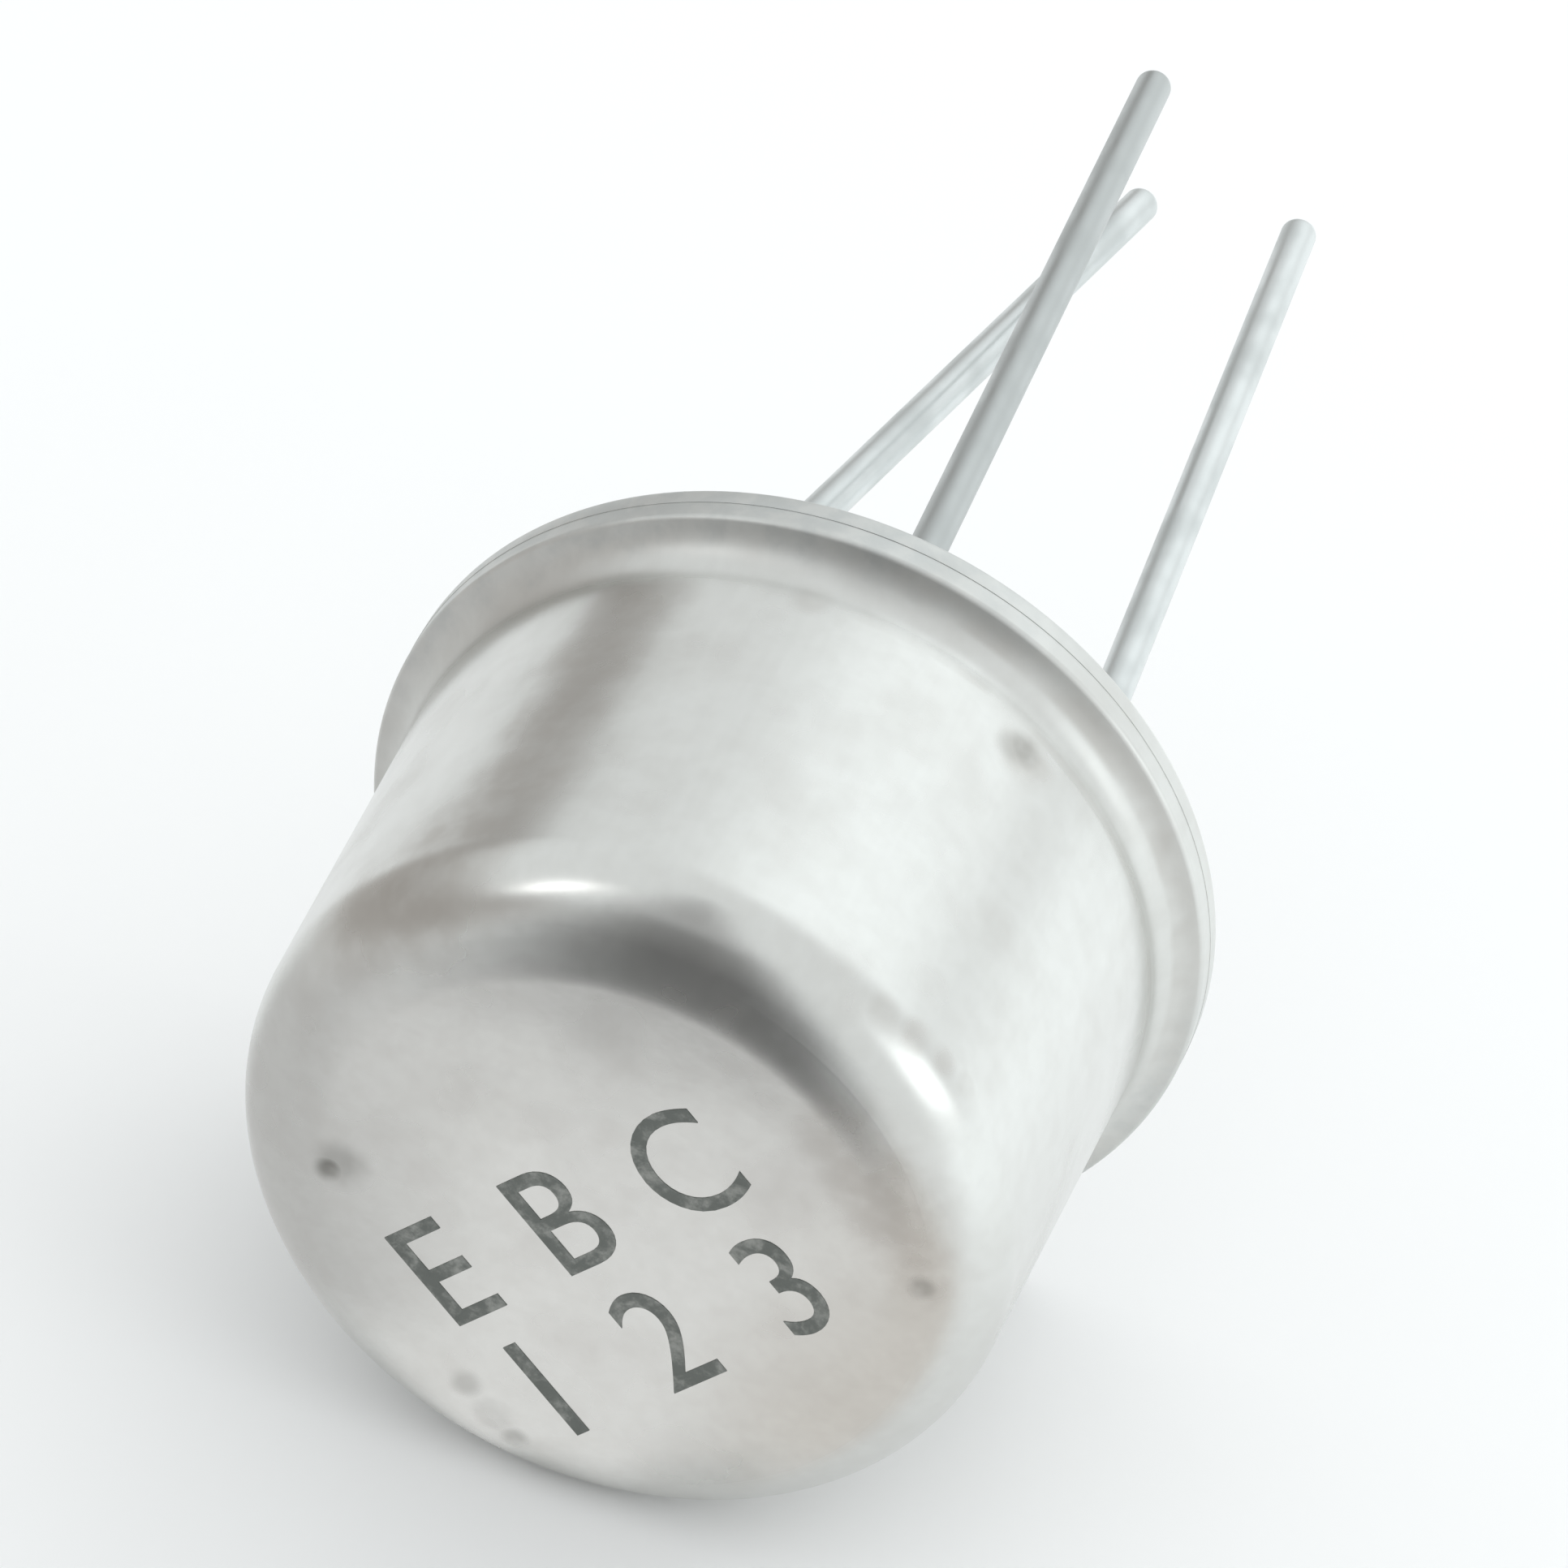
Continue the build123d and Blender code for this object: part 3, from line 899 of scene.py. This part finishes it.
def nickel(name, worn):
    """Satin nickel plate: faint drawing lines along the wall, cloudy gloss, thin brown patches and dark
    spots; on the worn cap also painted shade lines by the brim and painted reflection spots.
    """
    finish = settings().finish
    wiring = Wiring(name)
    where = wiring.place()
    lines = wiring.noise(wiring.place((9, 9, 0.5)), 1.0, 3.0, 0.6)
    blotch = wiring.noise(where, 4.2, 2.0, 0.5)
    film_and_painted_shade = wiring.spread(wiring.noise(where, 1.1, 2.0, 0.5), 0.42, 0.85, 0.0, 0.26)
    if worn:
        ragged = wiring.spread(wiring.noise(where, 2.8, 2.0, 0.5), 0.28, 0.66, 0.45, 1.0)
        stains_and_reflections = wiring.math("MULTIPLY", wiring.spots(where, STAIN_AND_REFLECTION_SPOTS), ragged)
        # Painted shade: dark lines where the brim meets the wall and where the wall's sweep ends, on one side
        # of the can.
        brim_shade_line = painted_shade_line(wiring, where, 0.60, 0.10, 0.55)
        wall_shade_line = painted_shade_line(wiring, where, 1.07, 0.10, 0.35)
        # From here the share also holds the painted shade lines and painted reflection spots.
        film_and_painted_shade = wiring.math("MAXIMUM", film_and_painted_shade, stains_and_reflections, brim_shade_line, wall_shade_line)
        dirt = wiring.math("MULTIPLY", wiring.spots(where, GRIME_SPOTS), ragged)
    else:
        dirt = wiring.spread(wiring.noise(where, 2.3, 4.0, 0.6), 0.62, 0.90, 0.0, 0.30)
    greyed, matt = rim_film(wiring, where)
    shade = wiring.layers(
        finish.nickel,
        (wiring.spread(lines, 0.3, 0.7), [c * 0.985 for c in finish.nickel]),
        (wiring.spread(blotch, 0.35, 0.70, 0.0, 0.10), finish.tarnish_and_painted_shade),
        (film_and_painted_shade, finish.tarnish_and_painted_shade),
        (greyed, finish.dull),
        (dirt, finish.grime),
    )
    cloud = wiring.noise(where, 0.55, 3.0, 0.55)
    plain = finish.nickel_roughness
    gloss = wiring.spread(cloud, 0.30, 0.70, plain - 0.03, plain + 0.045)
    film_gloss, dirt_gloss = wiring.math("MULTIPLY", film_and_painted_shade, 0.10), wiring.math("MULTIPLY", dirt, 0.25)
    gloss = wiring.math("ADD", gloss, film_gloss, dirt_gloss, matt)
    waves, grain = wiring.noise(where, 0.8, 1.0, 0.5), wiring.noise(where, 9.0, 1.0, 0.5)
    relief = wiring.relief((waves, 1.0, 0.010), (lines, 0.3, 0.0005), (grain, 0.3, 0.0010))
    return wiring.coated(Base_Color=shade, Metallic=1.0, Roughness=gloss, Normal=relief)


def tinned():
    """Tinned wire: pale and satin, with duller patches and fine marks, and painted shade darkening the base
    lead.
    """
    finish = settings().finish
    wiring = Wiring("tinned_lead")
    where = wiring.place()
    lines = wiring.noise(wiring.place((14, 14, 0.8)), 1.0, 3.0, 0.6)
    patches = wiring.noise(wiring.place((1, 1, 0.7)), 1.9, 2.0, 0.5)
    shade = wiring.layers(
        finish.tin,
        (wiring.spread(patches, 0.35, 0.70), finish.tin_dull),
        (wiring.spread(lines, 0.4, 0.8, 0.0, 0.3), finish.tin_dull),
        # Painted shade: the base lead, from 1.1 to 1.6 mm along y onwards, takes the darker tin.
        (wiring.spread(wiring.parts(where)[1], 1.1, 1.6), finish.shaded_tin),
    )
    gloss = wiring.spread(patches, 0.3, 0.7, finish.tin_roughness - 0.05, finish.tin_roughness + 0.08)
    relief = wiring.relief((wiring.noise(where, 2.2, 2.0, 0.5), 0.5, 0.004), (lines, 0.3, 0.0008))
    return wiring.coated(Base_Color=shade, Metallic=1.0, Roughness=gloss, Normal=relief)


def seal_glass():
    """Dark green-grey glass with a few fine bubbles."""
    finish = settings().finish
    wiring = Wiring("seal_glass")
    where = wiring.place()
    swirl = wiring.noise(where, 3.0, 3.0, 0.5, 1.0)
    shade = wiring.layers(finish.glass, (wiring.spread(swirl, 0.35, 0.7), [c * 1.7 for c in finish.glass]))
    gloss = wiring.spread(swirl, 0.3, 0.7, 0.04, 0.14)
    relief = wiring.relief((wiring.noise(where, 14.0, 2.0, 0.5), 0.4, 0.003))
    return wiring.coated(Base_Color=shade, Roughness=gloss, IOR=1.52, Coat_Weight=0.5, Normal=relief)


def soft_metal(name, tone, roughness, scale):
    """A plain soft metal with a fine uneven surface, for braze and gold."""
    wiring = Wiring(name)
    mottle = wiring.noise(wiring.place(), scale, 4.0, 0.6, 0.3)
    shade = wiring.layers(tone, (wiring.spread(mottle, 0.35, 0.7), [c * 0.78 for c in tone]))
    gloss = wiring.spread(mottle, 0.3, 0.7, roughness, roughness + 0.12)
    relief = wiring.relief((mottle, 0.5, 0.004))
    return wiring.coated(Base_Color=shade, Metallic=1.0, Roughness=gloss, Normal=relief)


def silicon():
    """Polished silicon with the fine metal fingers of its emitter and base."""
    finish, header, chip = settings().finish, settings().header, settings().chip
    wiring = Wiring("silicon")
    where = wiring.place()
    turn = (0, 0, -lead_clock(0))
    x, y, z = wiring.parts(wiring.add("ShaderNodeMapping", Vector=where, Rotation=turn).outputs[0])
    half_pitch, finger_width, half_field = 0.02, 0.009, (0.22, 0.24)
    top = (header.platform + chip.attach + chip.thickness * 0.97) / MM
    fingers = wiring.math(
        "MULTIPLY",
        wiring.math("LESS_THAN", wiring.math("PINGPONG", y, half_pitch), finger_width),
        wiring.math("LESS_THAN", wiring.math("ABSOLUTE", x, 0.0), half_field[0]),
        wiring.math("LESS_THAN", wiring.math("ABSOLUTE", y, 0.0), half_field[1]),
        wiring.math("GREATER_THAN", z, top),
    )
    cloud = wiring.spread(wiring.noise(where, 9.0, 3.0), 0.3, 0.7)
    shade = wiring.layers(finish.silicon, (cloud, [c * 1.3 for c in finish.silicon]), (fingers, finish.gold))
    metal = wiring.spread(fingers, 0.0, 1.0, 0.35, 1.0)
    rough = wiring.spread(fingers, 0.0, 1.0, 0.10, 0.32)
    return wiring.coated(Base_Color=shade, Metallic=metal, Roughness=rough)


def stamped_ink():
    """Dark ink, thinner and greyer where it has rubbed off."""
    finish = settings().finish
    wiring = Wiring("stamped_ink")
    where = wiring.place()
    rubbed = wiring.noise(where, 3.6, 5.0, 0.65, 0.4)
    fine = wiring.noise(where, 17.0, 3.0, 0.6)
    worn = wiring.math("ADD", wiring.math("MULTIPLY", rubbed, 0.7), wiring.math("MULTIPLY", fine, 0.3))
    shade = wiring.layers(finish.ink, (wiring.spread(worn, 0.42, 0.66, 0.0, 0.75), finish.ink_worn))
    gloss = wiring.spread(fine, 0.3, 0.7, 0.42, 0.62)
    return wiring.coated(Base_Color=shade, Roughness=gloss, Normal=wiring.relief((fine, 0.5, 0.003)))


def finish_of(name):
    """A finish by its record slot, made once."""
    found = bpy.data.materials.get(name)
    if found and found.get("finished"):
        return found
    tone = settings().finish
    makers = {
        "nickel_cap": lambda: nickel("nickel_cap", True),
        "nickel_header": lambda: nickel("nickel_header", False),
        "tinned_lead": tinned,
        "seal_glass": seal_glass,
        "braze": lambda: soft_metal("braze", tone.braze, 0.30, 9.0),
        "gold": lambda: soft_metal("gold", tone.gold, 0.22, 14.0),
        "silicon": silicon,
        "stamped_ink": stamped_ink,
    }
    if found:
        found.name = f"{name}_plain"
    made = makers[name]()
    made["finished"] = True
    return made


# Stage


def card_material():
    """What all the cards are made of: each point glows in its own tone, as far as it isn't clear."""
    found = bpy.data.materials.get("reflection_card")
    if found:
        return found
    material = bpy.data.materials.new("reflection_card")
    material.use_nodes = True
    nodes, links = material.node_tree.nodes, material.node_tree.links
    nodes.clear()
    tone, glow = nodes.new("ShaderNodeAttribute"), nodes.new("ShaderNodeEmission")
    clear, mix = nodes.new("ShaderNodeBsdfTransparent"), nodes.new("ShaderNodeMixShader")
    out = nodes.new("ShaderNodeOutputMaterial")
    tone.attribute_name = "tone"
    links.new(tone.outputs["Color"], glow.inputs["Color"])
    links.new(tone.outputs["Alpha"], mix.inputs[0])
    links.new(clear.outputs[0], mix.inputs[1])
    links.new(glow.outputs[0], mix.inputs[2])
    links.new(mix.outputs[0], out.inputs["Surface"])
    return material


def eased(share):
    """A soft step from 0 to 1."""
    share = min(max(share, 0.0), 1.0)
    return share * share * (3 - 2 * share)


def between(ends, share):
    """A value between two others."""
    return ends[0] + (ends[1] - ends[0]) * share


def hidden_from(piece, *rays):
    """Keeps some kinds of ray from seeing an object."""
    for ray in rays:
        setattr(piece, f"visible_{ray}", False)


def card(name, point_at, tones, soft):
    """A card that only reflections see. Its soft shares fade its left, right, low and high edges."""
    across, along = 48, 40
    row = across + 1
    corners = [j * row + i for j in range(along) for i in range(across)]
    faces = [(first, first + 1, first + row + 1, first + row) for first in corners]
    places = [(i / across, j / along) for j in range(along + 1) for i in range(row)]
    mesh = bpy.data.meshes.new(name)
    mesh.from_pydata([point_at(u, v) for u, v in places], [], faces)
    tone = mesh.color_attributes.new("tone", "FLOAT_COLOR", "POINT")
    left, right, low, high = soft
    for point, (u, v) in zip(tone.data, places):
        veil = eased(u / left) * eased((1 - u) / right) * eased(v / low) * eased((1 - v) / high)
        point.color = (*(between(ends, max(0.0, 2 * v - 1)) for ends in zip(*tones)), veil)
    mesh.materials.append(card_material())
    piece = placed(name, mesh)
    hidden_from(piece, "camera", "diffuse", "transmission", "shadow")


def dome_point(azimuth, elevation, distance):
    """A point round the can: azimuth 0 towards the viewer, 90 to the right."""
    flat = distance * cos(elevation)
    return Vector((flat * sin(azimuth), -flat * cos(azimuth), distance * sin(elevation)))


def layer_distance(layer):
    """How far a layer's cards stand from the can. Lower layers lie in front."""
    nearest, step = 200, 8
    return (nearest + step * layer) * MM


def floor_point(azimuth, reach, layer):
    """A point of a layer just over the floor, at a distance from under the can's face."""
    highest, step = 0.12, 0.012
    spot = dome_point(azimuth, 0, reach)
    return Vector((spot.x, spot.y - FACE_AHEAD, GROUND + (highest - step * layer) * MM))


def dome_card(name, layer, azimuths, elevations, tones, soft):
    """A curved card between two azimuths and two elevations, in degrees."""
    distance = layer_distance(layer)

    def point_at(u, v):
        return dome_point(radians(between(azimuths, u)), radians(between(elevations, v)), distance)

    card(name, point_at, tones, soft)


def wrap_card(name, layer, azimuths, near, top, tones, soft):
    """A card that lies just over the floor from a near distance on and then curves up to an elevation."""
    distance = layer_distance(layer)

    def point_at(u, v):
        turn = radians(between(azimuths, u))
        if v < 0.5:
            return floor_point(turn, near * MM * (distance / (near * MM)) ** (2 * v), layer)
        lift = floor_point(turn, 0, layer).z * (2 - 2 * v)
        return dome_point(turn, radians(top) * (2 * v - 1), distance) + Vector((0, 0, lift))

    card(name, point_at, tones, soft)


def floor_card(name, layer, azimuths, reaches, tones, soft):
    """A card that lies just over the floor between two distances from the can's face."""
    def point_at(u, v):
        reach = reaches[0] * (reaches[1] / reaches[0]) ** v * MM
        return floor_point(radians(between(azimuths, u)), reach, layer)

    card(name, point_at, tones, soft)


def soft_lamp(name, azimuth, elevation, distance, size, brightness, tone):
    """A rectangular lamp that faces the can, as bright as a white card of that brightness."""
    lamp = bpy.data.lights.new(name, "AREA")
    lamp.shape = "RECTANGLE"
    lamp.size, lamp.size_y = size[0] * MM, size[1] * MM
    lamp.energy = brightness * pi * lamp.size * lamp.size_y
    lamp.color = tone
    holder = placed(name, lamp)
    holder.location = dome_point(radians(azimuth), radians(elevation), distance * MM)
    holder.rotation_euler = (-holder.location).to_track_quat("-Z", "Y").to_euler()
    hidden_from(holder, "camera", "glossy")


def floor_material():
    """A pale matt floor with a faint unevenness."""
    stage = settings().stage
    wiring = Wiring("pale_floor")
    cloud = wiring.noise(wiring.add("ShaderNodeTexCoord").outputs["Object"], 30.0, 3.0)
    shade = wiring.layers(stage.floor_colour, (cloud, [c * 0.985 for c in stage.floor_colour]))
    return wiring.coated(Base_Color=shade, Roughness=0.9, Specular_IOR_Level=0.1)


def make_floor():
    """The floor under the lowest point of the transistor."""
    shape = bmesh.new()
    bmesh.ops.create_grid(shape, x_segments=8, y_segments=8, size=settings().stage.floor_size / 2)
    mesh = plain_mesh("floor", shape)
    mesh.transform(Matrix.Translation((0, 0, GROUND)))
    mesh.materials.append(floor_material())
    placed("floor", mesh)


def make_room_light():
    """Even light from all round."""
    stage = settings().stage
    world = bpy.data.worlds.new("room")
    world.use_nodes = True
    ground = world.node_tree.nodes["Background"]
    ground.inputs["Color"].default_value = (*stage.sky_colour, 1)
    ground.inputs["Strength"].default_value = stage.sky
    bpy.context.scene.world = world


def make_camera():
    """The camera at the photographed angle."""
    stage = settings().stage
    data = bpy.data.cameras.new("camera")
    data.lens = stage.lens
    data.sensor_width = 36.0
    data.clip_start, data.clip_end = 5 * MM, 5000 * MM
    camera = placed("camera", data)
    away = dome_point(stage.azimuth, stage.elevation, stage.distance)
    camera.location = Vector(stage.aim) + away
    camera.rotation_mode = "QUATERNION"
    level = (-away).to_track_quat("-Z", "Y")
    camera.rotation_quaternion = level @ Quaternion((0, 0, 1), stage.roll)
    bpy.context.scene.camera = camera


def grey(low, high=None, tint=(1.0, 1.0, 1.0)):
    """A card's tones on the floor and at its top, in one tint."""
    top = low if high is None else high
    return [low * share for share in tint], [top * share for share in tint]


LAMPS = (
    ("rear_lamp", 158, 42, 240, (210, 150), 0.85, (0.98, 1.0, 1.0)),
    ("window_lamp", 76, 24, 240, (150, 90), 1.0, (0.99, 1.0, 1.0)),
)
COOL = (0.96, 1.0, 1.01)
WARM = (1.04, 1.0, 0.96)
CARDS = (
    (dome_card, "spot", 0, (-57, -42), (24, 60), grey(3.6), (0.5, 0.5, 0.5, 0.5)),
    (wrap_card, "dark_front", 1, (-37, 31), 7.1, 57, grey(0.15, 0.33), (0.40, 0.40, 0.03, 0.22)),
    (dome_card, "grey_front", 2, (-36, 22), (30, 104), grey(0.42), (0.45, 0.45, 0.35, 0.35)),
    (wrap_card, "left_wide", 3, (-136, -20), 9.0, 38, grey(0.52, 0.40, WARM), (0.12, 0.2, 0.45, 0.3)),
    (dome_card, "left_band", 4, (-170, -112), (6, 32), grey(0.38, tint=WARM), (0.2, 0.2, 0.35, 0.35)),
    (dome_card, "window", 5, (52, 104), (8, 36), grey(2.0, tint=COOL), (0.35, 0.35, 0.35, 0.35)),
    (wrap_card, "rear_right", 6, (44, 190), 5.0, 24, grey(1.30, tint=COOL), (0.25, 0.2, 0.3, 0.45)),
    (dome_card, "rear_high", 7, (105, 205), (14, 72), grey(1.38, tint=COOL), (0.4, 0.4, 0.3, 0.4)),
    (floor_card, "shade_right", 8, (8, 74), (2.0, 16), grey(0.80, tint=WARM), (0.4, 0.3, 0.3, 0.3)),
    (floor_card, "shade_left", 9, (-120, -20), (2.5, 60), grey(0.68), (0.25, 0.3, 0.15, 0.5)),
    (floor_card, "shade_near", 9.6, (-80, 60), (0.6, 13), grey(0.98), (0.25, 0.35, 0.3, 0.15)),
)


# Operators, one for each piece or group of like pieces and one for the stage


class PieceOperator:
    """What every operator here shares."""

    bl_options = {"REGISTER", "UNDO"}


class TRANSISTOR_OT_cap(PieceOperator, bpy.types.Operator):
    """Makes the drawn cap"""

    bl_idname = "transistor.cap"
    bl_label = "Cap"

    def execute(self, context):
        finished("cap_shell", cap_mesh(), "nickel_cap", ["cap"])
        return {"FINISHED"}


class TRANSISTOR_OT_header(PieceOperator, bpy.types.Operator):
    """Makes the header with its flange, tab, platform and openings"""

    bl_idname = "transistor.header"
    bl_label = "Header"

    def execute(self, context):
        finished("header_base", header_mesh(), "nickel_header", ["header"])
        return {"FINISHED"}


class TRANSISTOR_OT_seals(PieceOperator, bpy.types.Operator):
    """Makes the two glass seals and the braze collar"""

    bl_idname = "transistor.seals"
    bl_label = "Seals and braze"

    def execute(self, context):
        for place, node in enumerate(("emitter_seal", "base_seal")):
            finished(f"{node}_glass", seal_mesh(node, place), "seal_glass", [node])
        finished("collector_braze_collar", braze_mesh(), "braze", ["collector_braze"])
        return {"FINISHED"}


class TRANSISTOR_OT_leads(PieceOperator, bpy.types.Operator):
    """Makes the three wire leads along their bent routes"""

    bl_idname = "transistor.leads"
    bl_label = "Leads"

    def execute(self, context):
        leads, header = settings().leads, settings().header
        post_top = header.platform + leads.post
        bent = (
            ("emitter_lead", (-0.22, -0.01), (-0.85, 0.82), post_top),
            ("base_lead", (-0.18, 0.0), (-0.44, -0.78), post_top),
            ("collector_lead", (0.35, 0.02), (2.51, 0.54), header.socket_depth),
        )
        radius = leads.diameter / 2
        tin = finish_of("tinned_lead")
        for place, (node, knee, end, top) in enumerate(bent):
            points = lead_points(place, knee, end, top)
            bends = bend_radii(points, leads.foot, leads.bend)
            mesh = drawn_wire(
                node, points, bends, tin, radius, sides=40, bend_steps=14, end_round=leads.end_round
            )
            finished(f"{node}_wire", mesh, "tinned_lead", [node])
        return {"FINISHED"}


class TRANSISTOR_OT_chip(PieceOperator, bpy.types.Operator):
    """Makes the chip on its attach layer and the gold bond wires"""

    bl_idname = "transistor.chip"
    bl_label = "Chip and bond wires"

    def execute(self, context):
        chip, header = settings().chip, settings().header
        soft = 0.006 * MM
        attach_side = chip.side + 2 * chip.attach_margin
        attach = chip_mesh("die_attach", attach_side, header.platform, chip.attach, soft)
        finished("die_attach_layer", attach, "gold", ["die_attach"])
        die = chip_mesh("die", chip.side, header.platform + chip.attach, chip.thickness, soft)
        finished("die_chip", die, "silicon", ["die"])
        rows = (("emitter_wire", 0, 3, chip.emitter_pitch), ("base_wire", 1, 2, chip.base_pitch))
        for name, place, count, pitch in rows:
            for index in range(count):
                node = f"{name}_{index + 1}"
                offset = index - (count - 1) / 2
                mesh = bond_wire_mesh(node, place, offset * pitch, offset * chip.post_pitch)
                finished(f"{node}_bond", mesh, "gold", [node])
        return {"FINISHED"}


class TRANSISTOR_OT_pin_key(PieceOperator, bpy.types.Operator):
    """Stamps the pin key on the cap's face"""

    bl_idname = "transistor.pin_key"
    bl_label = "Pin key"

    def execute(self, context):
        finished("pin_key", pin_key_mesh(), "nickel_cap", finish="stamped_ink")
        return {"FINISHED"}


class TRANSISTOR_OT_stage(PieceOperator, bpy.types.Operator):
    """Makes the camera, the floor and the light"""

    bl_idname = "transistor.stage"
    bl_label = "Stage"

    def execute(self, context):
        make_camera()
        make_floor()
        make_room_light()
        for lamp in LAMPS:
            soft_lamp(*lamp)
        for maker, *given in CARDS:
            maker(*given)
        context.scene.view_settings.view_transform = "Standard"
        return {"FINISHED"}


OPERATORS = (
    TRANSISTOR_OT_stage,
    TRANSISTOR_OT_cap,
    TRANSISTOR_OT_header,
    TRANSISTOR_OT_seals,
    TRANSISTOR_OT_leads,
    TRANSISTOR_OT_chip,
    TRANSISTOR_OT_pin_key,
)


class TRANSISTOR_PT_panel(bpy.types.Panel):
    """Lists the transistor's operators and sizes in the sidebar."""

    bl_idname = "TRANSISTOR_PT_panel"
    bl_label = "Metal can transistor"
    bl_space_type = "VIEW_3D"
    bl_region_type = "UI"
    bl_category = "Transistor"

    def draw(self, context):
        """Draws the operators, then the settings by group."""
        layout = self.layout
        for operator in OPERATORS:
            layout.operator(operator.bl_idname)
        owner = context.scene.transistor
        for group in ("pose", "can", "header", "leads", "chip", "finish", "key", "stage"):
            box = layout.box()
            part = getattr(owner, group)
            for name in type(part).__annotations__:
                box.prop(part, name)


GROUPS = (LyingPose, CanSizes, HeaderSizes, LeadSizes, ChipSizes, Finishes, PinKey, StageSettings)
CLASSES = (*GROUPS, TransistorSettings, *OPERATORS, TRANSISTOR_PT_panel)


def register():
    """Registers every class and the scene's settings."""
    for item in CLASSES:
        bpy.utils.register_class(item)
    bpy.types.Scene.transistor = PointerProperty(type=TransistorSettings)


def unregister():
    """Takes every class and the settings back out."""
    del bpy.types.Scene.transistor
    for item in reversed(CLASSES):
        bpy.utils.unregister_class(item)


def main():
    register()
    for operator in OPERATORS:
        group, name = operator.bl_idname.split(".")
        getattr(getattr(bpy.ops, group), name)()
    bpy.context.view_layer.update()


if __name__ == "__main__":
    main()
